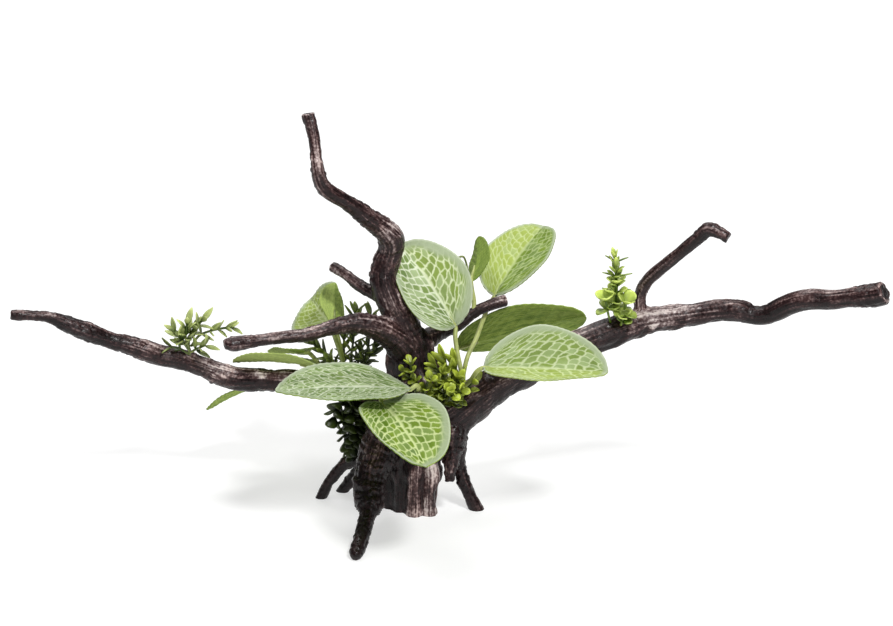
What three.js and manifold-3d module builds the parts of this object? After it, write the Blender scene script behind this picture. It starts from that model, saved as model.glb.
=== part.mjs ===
// A driftwood ornament for an aquarium or terrarium. A gnarled stump forks into bare
// branches and roots, and fabric leaves and small moulded plastic sprigs are set in it.
// Millimetres, +Z up. The origin is the middle of the flat underside of the stump, +X runs
// along the long right branch, and the side with the big leaves faces -Y.
import * as THREE from 'three';
import { mergeVertices } from 'three/addons/utils/BufferGeometryUtils.js';
import Module from 'manifold-3d';

const wasm = await Module();
wasm.setup();

// Driving dimensions, in millimetres and degrees
const GAP = 0.3; // clearance left where one piece is seated in another
const RING_PITCH = 8; // spacing of the rings of facets along a limb of wood
const STALK_PITCH = 10; // the same along a leaf's stalk or a sprig's shoot
const LEAF_THICKNESS = 1;
const BLADE_FACETS = [4, 8]; // across and along a leaf's blade
const BLADE_SHAPE = { lean: 0.92, fullness: 0.6 }; // broadest below its middle, with full sides
const LEAF_END_WIDTH = 2.4; // width of a blade where it meets its stalk, and at its tip
const FOLD_CURVE = 1.3; // 1 lifts the halves of a blade as flat planes, more curls their edges
const STALK_DIAMETER = 2;
const STALK_LAP = 3; // how far a stalk runs on under its blade
const SHOOT_DIAMETER = 1.5;
const LEAFLET_THICKNESS = 1;
const LEAFLET_SPREAD = [68, 42]; // angle between leaflet and shoot, for the first and last pair
const LEAFLET_TURN = 30; // how far round the shoot the first pair sits
const LAST_LEAFLETS = 0.97; // where the last pair sits, as a share of the shoot's length
const FIRST_SIDE = [0.3, 1, 0.2]; // any direction that no limb starts along
const FLOOR_SLAB = [500, 300, 60]; // what is cut off below the standing plane

// The relief of the wood is a sum of waves: how many go round a limb, how far each turns
// along it in radians per mm, and its share of the limb's lumps.
const WOOD_WAVES = [
  { round: 3, twist: 0.09, share: 0.45 }, // broad ridges
  { round: 5, twist: -0.05, share: 0.36 }, // narrow ridges
  { round: 2, twist: 0.55, share: 0.4 }, // knots
];

// The wood: each limb is a row of stations [x, y, z, diameter] along its middle, from
// inside the limb that it grows out of to its tip.
const STUMP = [
  [0, 0, 79, 16], [0, 0, 71, 18.5], [1, 1, 58.5, 25.5], [0, 2, 41.5, 32.5],
  [-2, 2, 25, 32], [-1.5, 1, 10.5, 27], [-0.5, 0, -6, 23.5],
];
const RIGHT_ARM = [
  [4, 2, 33, 13], [12.5, 1.5, 37.5, 17], [21.5, 0, 44.5, 18.5], [30, -2, 52.5, 17.5],
  [39.5, -2, 59, 15.5], [56, 0, 67.5, 13.5], [76, 4, 75.5, 12], [87.5, 6, 79.5, 12],
  [102, 8, 84, 10.5], [117.5, 9, 85.5, 9.5], [133, 8, 88, 9], [142.5, 7, 89, 9.5],
  [148.5, 6, 87, 8.5], [153, 5, 87, 8.5], [158.5, 3, 89.5, 8.5], [165, 0, 94.5, 8.5],
  [171.5, -3, 97.5, 9], [180.5, -6, 98, 8.5], [188.5, -9, 100, 8.5], [194.5, -11, 102.5, 9.5],
  [200.5, -12, 104.5, 10], [203, -12.5, 105, 9],
];
const LEFT_ARM = [
  [-3, 3.5, 49.5, 12], [-8, 5, 49.5, 13], [-18.5, 8, 50, 11.5], [-32, 12, 50.5, 10],
  [-45.5, 15, 51.5, 9.5], [-60.5, 18, 51.5, 9.5], [-69.5, 19, 51.5, 10.5], [-78, 20, 51.5, 10.5],
  [-85.5, 20, 53.5, 10], [-94.5, 19, 58, 8.5], [-104.5, 17, 62, 9.5], [-112.5, 15, 64.5, 9.5],
  [-123, 12, 69.5, 8.5], [-133.5, 10, 74, 7.5], [-142.5, 8, 78, 8.5], [-151, 6, 82.5, 7],
  [-158, 4, 86.5, 5], [-164, 2, 88, 4], [-172, 0, 89.5, 4.5],
];
const UPRIGHT_BRANCH = [
  [0, 0, 72, 12], [-1, -0.5, 77, 17.5], [-3, -1, 82.5, 16], [-5.5, -2, 90, 14],
  [-9, -3, 97.5, 12.5], [-11.5, -2, 104.5, 12.5], [-11, 0, 110.5, 12.5], [-8.5, 1, 117.5, 11],
  [-8, 0, 124, 11.5], [-12.5, -2, 130.5, 10], [-19.5, -6, 136.5, 8.5], [-27, -10, 143.5, 7],
  [-32.5, -13, 148.5, 6.5], [-36, -14, 152.5, 6], [-38, -12, 160, 5], [-39, -9, 166.5, 4.5],
  [-40.5, -6, 174, 5], [-42, -4, 179.5, 5.5], [-42.5, -3.5, 181.5, 4],
];
const FRONT_LEFT_BRANCH = [
  [-1, -2, 72, 9], [-3, -4.5, 75, 12.5], [-7.5, -8, 81.5, 12], [-13.5, -12, 87, 10.5],
  [-21, -16, 91, 9], [-28.5, -19, 91.5, 7.5], [-36, -22, 90.5, 6], [-43.5, -25, 89.5, 5.5],
  [-55, -29, 89.5, 5.5], [-65.5, -32, 89, 5.5], [-74.5, -35, 89, 6], [-77.5, -36, 89, 4.5],
];
const FRONT_ROOT = [
  [-4, -3, 58, 10], [-8.5, -8, 48, 16.5], [-13.5, -16, 32.5, 17], [-17.5, -24, 22.5, 14],
  [-18, -30, 16.5, 12], [-19, -35, 13.5, 9], [-19.5, -42, 9.5, 7], [-20.5, -48, 6, 6],
  [-22, -54, 3, 6], [-23, -58, 0.5, 5.5],
];
const RIGHT_ARM_FORK = [
  [101, 8, 83, 5], [100.5, 8, 85, 6], [100, 8, 90, 5.5], [99.5, 8, 95, 5],
  [100.5, 6, 102, 5.5], [105, 3, 108.5, 5.5], [110.5, 0, 114.5, 5.5], [116, -3, 120.5, 5.5],
  [121.5, -6, 126.5, 5.5], [126.5, -8, 131, 6], [131.5, -10, 129.5, 5], [134, -11, 128.5, 4],
];
const BACK_BRANCH = [
  [1, 1.5, 74, 8], [6, 5, 75.5, 9.5], [13, 9, 78, 7], [21.5, 12, 81, 5.5],
  [28, 14, 85.5, 5], [36, 16, 88.5, 5], [42, 18, 89.5, 5],
];
const UPRIGHT_TWIG = [
  [-9.5, -1, 96, 5], [-11.5, 0, 97, 6], [-17, 3, 98.5, 5.5], [-23.5, 6, 101.5, 5],
  [-28.5, 9, 104.5, 4.5], [-34, 12, 107, 4],
];
const RIGHT_STUB = [
  [15, -2, 42, 8], [19, -6, 37.5, 10.5], [18, -9, 27, 8], [17, -11, 20.5, 6], [17, -12, 17, 4],
];
const RIGHT_ROOT = [
  [23, -1, 40, 8], [22, -2, 29, 8], [21.5, -3, 18, 5.5], [24.5, -5, 8.5, 5.5],
  [28.5, -6.5, 0, 5.5], [30, -7, -3, 5],
];
const BACK_LEFT_ROOT_1 = [
  [-10, 2, 26, 8], [-17.5, 2, 22.5, 8], [-24, 4, 19, 6], [-29.5, 6, 16.5, 5.5],
  [-33.5, 6, 13.5, 5], [-37.5, 6, 7, 5], [-40, 6, 0, 4.5], [-41, 6, -3, 4.5],
];
const BACK_LEFT_ROOT_2 = [
  [-9, 4, 20, 7], [-15, 6, 17, 7], [-19.5, 8, 14.5, 6], [-24, 10, 11, 5.5],
  [-28.5, 12, 4.5, 5], [-31, 13, 0, 5], [-32.5, 13.5, -3, 5],
];

// Name, stations, facets round the limb, and lumps: how deep its ridges and hollows are
// as a share of its radius. A limb is cut back by those above it.
const LIMBS = [
  ['stump', STUMP, 16, 0.12],
  ['right_arm', RIGHT_ARM, 11, 0.08],
  ['left_arm', LEFT_ARM, 11, 0.08],
  ['upright_branch', UPRIGHT_BRANCH, 12, 0.08],
  ['front_left_branch', FRONT_LEFT_BRANCH, 10, 0.06],
  ['front_root', FRONT_ROOT, 11, 0.1],
  ['right_arm_fork', RIGHT_ARM_FORK, 8, 0.06],
  ['back_branch', BACK_BRANCH, 8, 0.06],
  ['upright_twig', UPRIGHT_TWIG, 8, 0.05],
  ['right_stub', RIGHT_STUB, 9, 0.08],
  ['right_root', RIGHT_ROOT, 8, 0.08],
  ['back_left_root_1', BACK_LEFT_ROOT_1, 8, 0.06],
  ['back_left_root_2', BACK_LEFT_ROOT_2, 8, 0.06],
];

// The leaves: base is where the blade starts, heading is its direction as [azimuth,
// elevation], roll turns it about its midrib, droop is how far it arches along its length
// and fold how far its halves are lifted. The stalk runs from the base into the wood.
const LEAVES = [
  {
    name: 'leaf_top', base: [19.5, 2.5, 83], heading: [160, 53], roll: -41,
    length: 43.5, width: 34.5, droop: 37, fold: 18,
    stalk: [[17.5, 0, 79.5], [18.5, -2, 73], [21, -4, 66], [21.5, -4, 58], [20, -2, 50]],
  },
  {
    name: 'leaf_behind_top', base: [26.5, 14.5, 99.5], heading: [83, 25], roll: 138,
    length: 28.5, width: 13, droop: 20, fold: 13,
    stalk: [[26.5, 14, 96], [27.5, 14, 90], [27, 13.5, 85]],
  },
  {
    name: 'leaf_upper_right', base: [36.5, 24, 89.5], heading: [56, 26], roll: -1,
    length: 49.5, width: 31.5, droop: 20, fold: 10,
    stalk: [[34, 22, 85], [31.5, 16, 81], [28.5, 8, 75.5], [24.5, 1, 69], [22.5, -1, 60], [21, -1, 50]],
  },
  {
    name: 'leaf_rear_right', base: [20.5, 30, 63.5], heading: [-12.5, 20], roll: -52,
    length: 61, width: 37.5, droop: 12, fold: 6,
    stalk: [[19, 27, 62], [19, 20, 60], [17, 11, 56], [14, 3, 47]],
  },
  {
    name: 'leaf_right', base: [31.5, -18, 72], heading: [-14.5, 3], roll: 26,
    length: 54, width: 37.5, droop: 7, fold: 31,
    stalk: [[29, -17, 70], [26, -13, 64], [23, -8, 58], [22, -4, 50]],
  },
  {
    name: 'leaf_left', base: [0, -22, 64.5], heading: [-161.5, 6], roll: -5,
    length: 60, width: 37, droop: 12, fold: 8,
    stalk: [[2, -21, 64.5], [3.5, -17, 62], [2, -9, 57]],
  },
  {
    name: 'leaf_front', base: [-12, -29.5, 60], heading: [-66.5, -12.5], roll: 1,
    length: 50.5, width: 38.5, droop: 27, fold: 21,
    stalk: [[-12.5, -27, 60], [-12, -21, 58.5], [-7, -7, 54]],
  },
  {
    name: 'leaf_rear_left_1', base: [-34.5, 15.5, 77], heading: [107, -2], roll: -51,
    length: 44.5, width: 33.5, droop: -6, fold: 24,
    stalk: [[-34, 14, 75.5], [-31.5, 12, 67], [-29, 11.5, 52]],
  },
  {
    name: 'leaf_rear_left_2', base: [-34, 11.5, 81], heading: [93, 11], roll: -143,
    length: 38, width: 14.5, droop: 6, fold: 10,
    stalk: [[-33.5, 10, 79], [-31, 8, 69], [-27, 10.5, 52]],
  },
  {
    name: 'leaf_over_left_arm', base: [-40, 14, 60.5], heading: [165.5, -2], roll: 23,
    length: 41.5, width: 25, droop: 20, fold: 14,
    stalk: [[-38.5, 13.5, 60], [-35, 13, 57.5], [-32.5, 12, 52]],
  },
  {
    name: 'leaf_rear_left_3', base: [-47, 24, 63], heading: [120, -20], roll: 12,
    length: 38, width: 15, droop: 3, fold: 13,
    stalk: [[-46, 22.5, 63], [-42, 19, 60], [-36, 13.5, 52]],
  },
  {
    name: 'leaf_under_left_arm', base: [-57, 27, 50], heading: [165, -28], roll: 9,
    length: 43, width: 23, droop: 17, fold: 9,
    stalk: [[-55.5, 26.5, 50.5], [-50, 24, 51], [-42, 14.5, 51.5]],
  },
];

// The sprigs: each shoot is a row of points from inside the wood or another shoot, with
// pairs of leaflets from start (a share of its length) to its end. Leaflets go from the
// low size to the high size, as [length, width].
const SPRIGS = [
  {
    name: 'sprig_left_arm', low: [5.5, 3], high: [7.5, 2],
    shoots: [
      { route: [[-98, 17, 60], [-98, 15, 68], [-96, 14, 75], [-90.5, 11, 84]], pairs: 4, start: 0.4 },
      { route: [[-97.5, 15, 69], [-94, 13, 75], [-84, 8, 79.5], [-77, 6, 82]], pairs: 4, start: 0.35 },
      { route: [[-98, 15.5, 66], [-101, 13, 71], [-105, 12, 74]], pairs: 2, start: 0.5 },
    ],
  },
  {
    name: 'sprig_right_arm', low: [8, 5], high: [6.5, 1.6],
    shoots: [
      { route: [[89, 6, 79], [89.5, 4.5, 88], [88.5, 2, 104.5], [88, 1, 118]], pairs: 8, start: 0.25 },
    ],
  },
  {
    name: 'sprig_centre', low: [6, 5], high: [6.5, 4.5],
    shoots: [
      { route: [[9, -6, 50], [8, -12, 60], [5, -15, 67], [1, -16, 71]], pairs: 3, start: 0.6 },
      { route: [[10, -6, 50], [11, -12, 62], [11, -14, 69], [10, -14, 74]], pairs: 3, start: 0.5 },
      { route: [[12, -5, 50], [15, -11, 60], [16, -12, 70], [15, -12, 77]], pairs: 3, start: 0.5 },
      { route: [[14, -4, 48], [20, -11, 58], [22, -12, 67], [22, -12, 75]], pairs: 3, start: 0.45 },
      { route: [[14, -4, 47], [22, -14, 56], [26, -17, 62], [28, -18, 68]], pairs: 2, start: 0.6 },
      { route: [[12, -6, 46], [15, -17, 53], [18, -22, 58]], pairs: 2, start: 0.6 },
    ],
  },
  {
    name: 'sprig_rear_left', low: [5, 1.8], high: [6.5, 1.8],
    shoots: [
      { route: [[-29, 13, 50], [-26, 16, 70], [-24.5, 17, 86]], pairs: 4, start: 0.45 },
      { route: [[-28, 12, 52], [-20, 15, 66], [-18, 16, 85]], pairs: 4, start: 0.45 },
      { route: [[-30, 13, 52], [-36, 18, 62], [-42, 20, 68]], pairs: 3, start: 0.4 },
      { route: [[-29, 12, 53], [-22, 14, 60], [-15, 13, 70]], pairs: 3, start: 0.4 },
    ],
  },
  {
    name: 'sprig_under_left_arm', low: [7, 5], high: [7, 5],
    shoots: [
      { route: [[-25, 10, 51], [-29, 7, 42], [-29.5, 5, 35], [-28.5, 4, 24]], pairs: 4, start: 0.4 },
      { route: [[-23, 9, 50], [-23, 6, 40], [-23, 6, 31]], pairs: 2, start: 0.65 },
      { route: [[-26, 10, 50], [-33, 5, 44], [-35, 3, 39]], pairs: 2, start: 0.6 },
    ],
  },
];

const WOOD = new THREE.MeshStandardMaterial({ color: '#4a4042', roughness: 0.5, metalness: 0 });
const LEAF = new THREE.MeshStandardMaterial({ color: '#a9bd7e', roughness: 0.75, metalness: 0 });
const SPRIG = new THREE.MeshStandardMaterial({ color: '#76833a', roughness: 0.45, metalness: 0 });

const degrees = THREE.MathUtils.degToRad;

function pointOf(station) {
  return new THREE.Vector3(station[0], station[1], station[2]);
}

function solidOf(geometry) {
  geometry.deleteAttribute('normal');
  geometry.deleteAttribute('uv');
  const merged = mergeVertices(geometry);
  const vertProperties = merged.attributes.position.array;
  const triVerts = new Uint32Array(merged.index.array);
  return new wasm.Manifold(new wasm.Mesh({ numProp: 3, vertProperties, triVerts }));
}

function geometryOf(solid) {
  const mesh = solid.getMesh();
  const geometry = new THREE.BufferGeometry();
  geometry.setAttribute('position', new THREE.BufferAttribute(mesh.vertProperties, 3));
  geometry.setIndex(new THREE.BufferAttribute(mesh.triVerts, 1));
  geometry.computeVertexNormals();
  return geometry;
}

function largestBody(solid) {
  return solid.decompose().reduce((best, body) => (body.volume() > best.volume() ? body : best));
}

// Moves every vertex of a geometry to the point that place() gives for it.
function reshape(geometry, place) {
  const position = geometry.attributes.position;
  const vertex = new THREE.Vector3();
  for (let i = 0; i < position.count; i += 1) {
    vertex.fromBufferAttribute(position, i);
    const moved = place(vertex);
    position.setXYZ(i, moved.x, moved.y, moved.z);
  }
  return geometry;
}

// Points, tangents and sideways directions at equal steps along a curve, without twist.
function framesAlong(curve, steps) {
  const frames = [];
  const start = curve.getTangentAt(0);
  let side = new THREE.Vector3(...FIRST_SIDE).cross(start).normalize();
  for (let i = 0; i <= steps; i += 1) {
    const share = i / steps;
    const tangent = curve.getTangentAt(share);
    side = side.clone().addScaledVector(tangent, -side.dot(tangent)).normalize();
    const other = new THREE.Vector3().crossVectors(tangent, side);
    frames.push({ point: curve.getPointAt(share), tangent, side, other });
  }
  return frames;
}

// A bar that follows its stations, with flat ends. grow makes it larger all over, and
// lumps gives it the ridges, hollows and knots of weathered wood.
function bar(stations, facets, pitch, lumps, grow) {
  const curve = new THREE.CatmullRomCurve3(stations.map(pointOf), false, 'centripetal');
  curve.arcLengthDivisions = 400;
  const length = curve.getLength();
  const steps = Math.max(2, Math.round(length / pitch));
  const frames = framesAlong(curve, steps);
  const radii = frames.map((frame, i) => {
    const along = curve.getUtoTmapping(i / steps) * (stations.length - 1);
    const before = Math.min(Math.floor(along), stations.length - 2);
    const diameter = THREE.MathUtils.lerp(stations[before][3], stations[before + 1][3], along - before);
    return diameter / 2;
  });
  const geometry = new THREE.CylinderGeometry(1, 1, 1, facets, steps);
  return reshape(geometry, (vertex) => {
    const share = 0.5 - vertex.y;
    const ring = Math.round(share * steps);
    const { point, tangent, side, other } = frames[ring];
    const turn = Math.atan2(vertex.x, vertex.z);
    const travel = share * length;
    const wave = ({ round, twist, share: part }) => part * Math.sin(round * turn + twist * travel);
    const relief = WOOD_WAVES.map(wave).reduce((sum, height) => sum + height);
    const radius = radii[ring] * (1 + lumps * relief) + grow;
    return point.clone()
      .addScaledVector(side, vertex.x * radius)
      .addScaledVector(other, vertex.z * radius)
      .addScaledVector(tangent, grow * (2 * share - 1));
  });
}

function limb(stations, facets, lumps, grow) {
  const slab = new THREE.BoxGeometry(...FLOOR_SLAB).translate(0, 0, -FLOOR_SLAB[2] / 2);
  return solidOf(bar(stations, facets, RING_PITCH, lumps, grow)).subtract(solidOf(slab));
}

// Half the width of a blade as a share of its greatest half width: an egg-shaped leaf that
// is broadest a little below its middle.
function bladeProfile(share) {
  return Math.sin(Math.PI * share ** BLADE_SHAPE.lean) ** BLADE_SHAPE.fullness;
}

// A blade that arches along its midrib while its two halves lift, and its stalk.
function leaf({ base, heading, roll, length, width, droop, fold, stalk }, grow) {
  const [azimuth, elevation] = heading.map(degrees);
  const ahead = new THREE.Vector3(Math.cos(azimuth), Math.sin(azimuth), 0);
  const level = new THREE.Vector3(Math.sin(azimuth), -Math.cos(azimuth), 0);
  const forward = ahead.applyAxisAngle(level, elevation);
  const up = new THREE.Vector3().crossVectors(level, forward);
  up.applyAxisAngle(forward, degrees(roll));
  const across = new THREE.Vector3().crossVectors(forward, up);
  const arch = degrees(droop);
  const start = pointOf(base);
  const blade = new THREE.BoxGeometry(2, 1, 1, BLADE_FACETS[0], BLADE_FACETS[1], 1);
  reshape(blade, (vertex) => {
    const share = vertex.y + 0.5;
    const turn = arch * (share - 0.5);
    const out = length / arch * (Math.sin(turn) + Math.sin(arch / 2)) + grow * (2 * share - 1);
    const rise = length / arch * (Math.cos(turn) - Math.cos(arch / 2));
    const half = Math.max(LEAF_END_WIDTH / 2, bladeProfile(share) * width / 2) + grow;
    const lift = half * Math.abs(vertex.x) ** FOLD_CURVE * Math.sin(degrees(fold));
    const normal = up.clone().multiplyScalar(Math.cos(turn)).addScaledVector(forward, Math.sin(turn));
    return start.clone()
      .addScaledVector(forward, out)
      .addScaledVector(up, rise)
      .addScaledVector(across, vertex.x * half * Math.cos(degrees(fold)))
      .addScaledVector(normal, lift + vertex.z * (LEAF_THICKNESS + 2 * grow));
  });
  const inside = start.clone().addScaledVector(forward, STALK_LAP).toArray();
  const stations = [inside, base, ...stalk].map((point) => [...point, STALK_DIAMETER]);
  return solidOf(blade).add(solidOf(bar(stations, 4, STALK_PITCH, 0, grow)));
}

// One leaflet: a flattened lozenge that starts at a point and lies along a direction, with
// its face turned to the given side.
function leaflet(start, along, face, size, grow) {
  const shape = new THREE.SphereGeometry(1, 4, 2);
  shape.scale(size[1] / 2 + grow, LEAFLET_THICKNESS / 2 + grow, size[0] / 2 + grow);
  const side = new THREE.Vector3().crossVectors(face, along).normalize();
  const normal = new THREE.Vector3().crossVectors(along, side);
  shape.applyMatrix4(new THREE.Matrix4().makeBasis(side, normal, along));
  const middle = start.clone().addScaledVector(along, size[0] / 2);
  shape.translate(middle.x, middle.y, middle.z);
  return solidOf(shape);
}

// A shoot with pairs of leaflets, each pair at a right angle to the pair below it.
function shoot({ route, pairs, start }, low, high, grow) {
  const stations = route.map((point) => [...point, SHOOT_DIAMETER]);
  let body = solidOf(bar(stations, 3, STALK_PITCH, 0, grow));
  const curve = new THREE.CatmullRomCurve3(route.map(pointOf), false, 'centripetal');
  const frames = framesAlong(curve, pairs);
  for (let i = 0; i < pairs; i += 1) {
    const height = pairs > 1 ? i / (pairs - 1) : 1;
    const share = THREE.MathUtils.lerp(start, LAST_LEAFLETS, height);
    const point = curve.getPointAt(share);
    const tangent = curve.getTangentAt(share);
    const size = [0, 1].map((k) => THREE.MathUtils.lerp(low[k], high[k], share));
    const spread = degrees(THREE.MathUtils.lerp(...LEAFLET_SPREAD, height));
    const outward = frames[i].side.clone().applyAxisAngle(tangent, degrees(LEAFLET_TURN + 90 * i));
    for (const hand of [-1, 1]) {
      const along = tangent.clone().multiplyScalar(Math.cos(spread))
        .addScaledVector(outward, hand * Math.sin(spread)).normalize();
      body = body.add(leaflet(point, along, tangent, size, grow));
    }
  }
  return body;
}

function sprig({ shoots, low, high }, grow) {
  return shoots.map((each) => shoot(each, low, high, grow)).reduce((all, next) => all.add(next));
}

const group = new THREE.Group();
const seated = []; // grown copies of the pieces in place, which later pieces are cut back by

function place(name, material, build) {
  const cut = seated.reduce((solid, other) => solid.subtract(other), build(0));
  const mesh = new THREE.Mesh(geometryOf(largestBody(cut)), material);
  mesh.name = name;
  group.add(mesh);
  seated.push(build(GAP));
}

for (const [name, stations, facets, lumps] of LIMBS) {
  place(name, WOOD, (grow) => limb(stations, facets, lumps, grow));
}
for (const each of LEAVES) {
  place(each.name, LEAF, (grow) => leaf(each, grow));
}
for (const each of SPRIGS) {
  place(each.name, SPRIG, (grow) => sprig(each, grow));
}

export default group;
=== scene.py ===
import math
import random

import bmesh
import bpy
import numpy as np
from mathutils import Matrix, Vector, noise


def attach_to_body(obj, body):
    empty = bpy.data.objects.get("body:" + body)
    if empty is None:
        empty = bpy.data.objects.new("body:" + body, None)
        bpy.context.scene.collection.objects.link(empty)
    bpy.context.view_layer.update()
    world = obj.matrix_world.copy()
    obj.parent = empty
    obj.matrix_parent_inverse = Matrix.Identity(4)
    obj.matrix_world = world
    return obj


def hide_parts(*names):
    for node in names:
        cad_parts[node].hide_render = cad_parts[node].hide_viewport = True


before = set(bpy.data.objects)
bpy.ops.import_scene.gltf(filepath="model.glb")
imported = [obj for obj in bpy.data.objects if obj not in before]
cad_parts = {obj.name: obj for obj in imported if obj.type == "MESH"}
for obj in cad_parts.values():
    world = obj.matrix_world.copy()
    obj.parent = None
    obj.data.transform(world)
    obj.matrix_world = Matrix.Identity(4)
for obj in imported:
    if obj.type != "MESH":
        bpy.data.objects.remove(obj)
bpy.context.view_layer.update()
scene = bpy.context.scene
MM = 0.001


# The camera: a long lens from 20 degrees above, far enough back that the arms that come
# forward look no larger than those that go back.
VIEW_ELEVATION = math.radians(20)
VIEW_DISTANCE = 1075 * MM
VIEW_TARGET = Vector((15.4, 0, 90)) * MM
LENS_MM = 100

camera = bpy.data.objects.new("camera", bpy.data.cameras.new("camera"))
camera.data.lens = LENS_MM
view_back = Vector((0, -math.cos(VIEW_ELEVATION), math.sin(VIEW_ELEVATION)))
camera.location = VIEW_TARGET + VIEW_DISTANCE * view_back
camera.rotation_euler = (math.pi / 2 - VIEW_ELEVATION, 0, 0)
scene.collection.objects.link(camera)
scene.camera = camera


# The wood: one hollow-free casting in polyester resin, taken from a mould of real driftwood,
# stained nearly black and dry-brushed with a pinkish grey on its crests. Every limb is swept
# along its middle, the limbs are fused, and the fork corners fill in as the mould's do.
# Stations are x, y, z and diameter in millimetres, from inside the stump to the tip.
STUMP = [
    (0, 0, 79, 16), (0.5, 0, 71, 18), (1.8, 1, 59.5, 22.8), (0, 2, 41.5, 32.3),
    (-2.2, 2, 25, 32), (-2.2, 1, 10.5, 26.5), (-1.6, 0, -6, 24.5),
]
RIGHT_ARM = [
    (4, 2, 33, 13), (12.5, 1.5, 37.5, 17), (21.5, 0, 44.5, 18.5), (30, -2, 52.5, 17.5),
    (39.5, -2, 59, 15.5), (56, 0, 67.5, 13.8), (76, 4, 75.2, 12.8), (87.5, 6, 79, 12.8),
    (102, 8, 83.4, 11.6), (117.5, 9, 85.1, 10.2), (133, 8, 88, 9), (142.5, 7, 88.6, 9.6),
    (148.5, 6, 87, 8.5), (153, 5, 86.9, 8.5), (158.5, 3, 89.8, 8.8), (165, 0, 94.5, 8.8),
    (171.5, -3, 97.2, 9), (180.5, -6, 98.3, 8.7), (188.5, -9, 100.3, 8.7), (194.5, -11, 101.8, 9.5),
    (199, -12.5, 103, 10), (202.2, -14, 104.6, 9.8),
]
LEFT_ARM = [
    (-3, 3.5, 49.5, 12), (-8, 5, 49.5, 13), (-18.5, 8, 50, 11.5), (-32, 12, 50.5, 10),
    (-45.5, 15, 51.5, 9.5), (-60.5, 18, 51.5, 9.5), (-69.5, 19, 51.5, 10.5), (-78, 20, 51.5, 10.5),
    (-85.5, 20, 53.7, 10), (-94.5, 19, 58.3, 8.6), (-104.5, 17, 62.4, 9.5), (-112.5, 15, 65, 9.5),
    (-123, 12, 70, 8.5), (-133.5, 10, 74.1, 7), (-142.5, 8, 78.5, 8.5), (-151, 6, 83, 7),
    (-158, 4, 86.6, 5), (-164, 2, 88, 4.2), (-170.5, 0.6, 88.8, 4.6), (-173.8, -0.2, 89.1, 4),
]
UPRIGHT_BRANCH = [
    (0, 0, 72, 12), (-1, -0.5, 77, 17.5), (-3, -1, 82.5, 16), (-5.5, -2, 90, 14),
    (-9, -3, 97.5, 12.5), (-11.5, -2, 104.5, 12.5), (-11.5, 0, 110.5, 11.5), (-9, 1, 117.5, 10.6),
    (-8.2, 0, 124, 11.4), (-12.8, -2, 130, 9.8), (-19.4, -6, 136.5, 8), (-27, -10, 143.5, 6.6),
    (-33.2, -13, 148.2, 6.6), (-37, -13.6, 152.8, 6.2), (-38.8, -12, 160, 5.4), (-39.6, -9, 166.5, 4.8),
    (-40.9, -6, 174, 5), (-42.3, -4, 178.6, 5.6), (-42.8, -3.6, 180.6, 5.6),
]
FRONT_LEFT_BRANCH = [
    (-1, -2, 72, 9), (-3, -4.5, 75, 12.5), (-7.5, -8, 81.5, 12), (-13.5, -12, 87, 10.5),
    (-21, -16, 91, 9), (-28.5, -19, 91.5, 7.5), (-36, -22, 90.5, 6), (-43.5, -25, 89.5, 5.5),
    (-55, -29, 89.5, 5.2), (-65.5, -32, 89, 5.2), (-72, -34.2, 89, 6.2), (-75.5, -35.4, 89, 6.2),
    (-78, -36.2, 89, 3.6),
]
FRONT_ROOT = [
    (-4, -3, 58, 10), (-8.5, -8, 48, 16.5), (-13.5, -16, 32.5, 17), (-17.5, -24, 22.5, 14.5),
    (-18, -30, 16.5, 13.5), (-17.6, -34.4, 13.6, 11.5), (-18.6, -38, 11.4, 7), (-20, -45, 7.3, 6.8),
    (-21.2, -50, 4.8, 6.3), (-22.3, -55, 2.8, 6.2), (-23.2, -58.4, 1.6, 4.6), (-23.5, -59.6, 1, 2.4),
]
RIGHT_ARM_FORK = [
    (101, 8, 83, 5), (100.5, 8, 85, 6), (100, 8, 90, 5.4), (99.7, 8, 95, 5),
    (101.8, 6, 101.6, 5.4), (106.2, 3, 108, 5.4), (111.7, 0, 114, 5.4), (117.1, -3, 120, 5.4),
    (122.4, -6, 126.2, 5.5), (127, -8, 130.8, 6), (132.2, -10, 129.2, 5), (135, -11.3, 127.9, 4.8),
]
BACK_BRANCH = [
    (1, 1.5, 74, 8), (6, 5, 75.5, 9.5), (13, 9, 78, 7), (21.5, 12, 81, 5.5),
    (28, 14, 85.5, 5), (36, 16, 88.5, 5), (42, 18, 89.5, 5),
]
UPRIGHT_TWIG = [
    (-9.5, -1, 96, 5), (-11.5, 0, 97, 6), (-17, 3, 98.5, 5.5), (-23.5, 6, 101.5, 5),
    (-28.5, 9, 104.5, 4.5), (-33, 11.5, 106.6, 4.6), (-35, 12.6, 107.4, 4.2),
]
RIGHT_STUB = [
    (15, -2, 42, 8), (19, -6, 37.5, 10.5), (18, -9, 27, 8), (17, -11, 20.5, 6), (17, -12, 15.8, 4.4),
]
RIGHT_ROOT = [
    (22, -1, 40, 8), (20.8, -2, 29, 7.5), (21.3, -3, 18, 5.6), (24.5, -5, 8.5, 5.8),
    (28.7, -6.5, 0, 5.8), (30.4, -7, -3, 5.4),
]
BACK_LEFT_ROOT_1 = [
    (-10, 2, 26, 8), (-17.5, 2, 22.5, 8), (-24, 4, 19, 6), (-29.5, 6, 16.5, 5.5),
    (-33, 6, 13, 5), (-37.5, 6, 7, 4.8), (-40.6, 6, 0, 4.8), (-41.8, 6, -3, 4.8),
]
BACK_LEFT_ROOT_2 = [
    (-9, 4, 20, 7), (-15, 6, 17, 7), (-19.5, 8, 14.5, 6), (-24, 10, 11, 5.5),
    (-28.5, 12, 4.5, 5), (-31.5, 13, 0, 5), (-33, 13.5, -3, 5),
]
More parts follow.
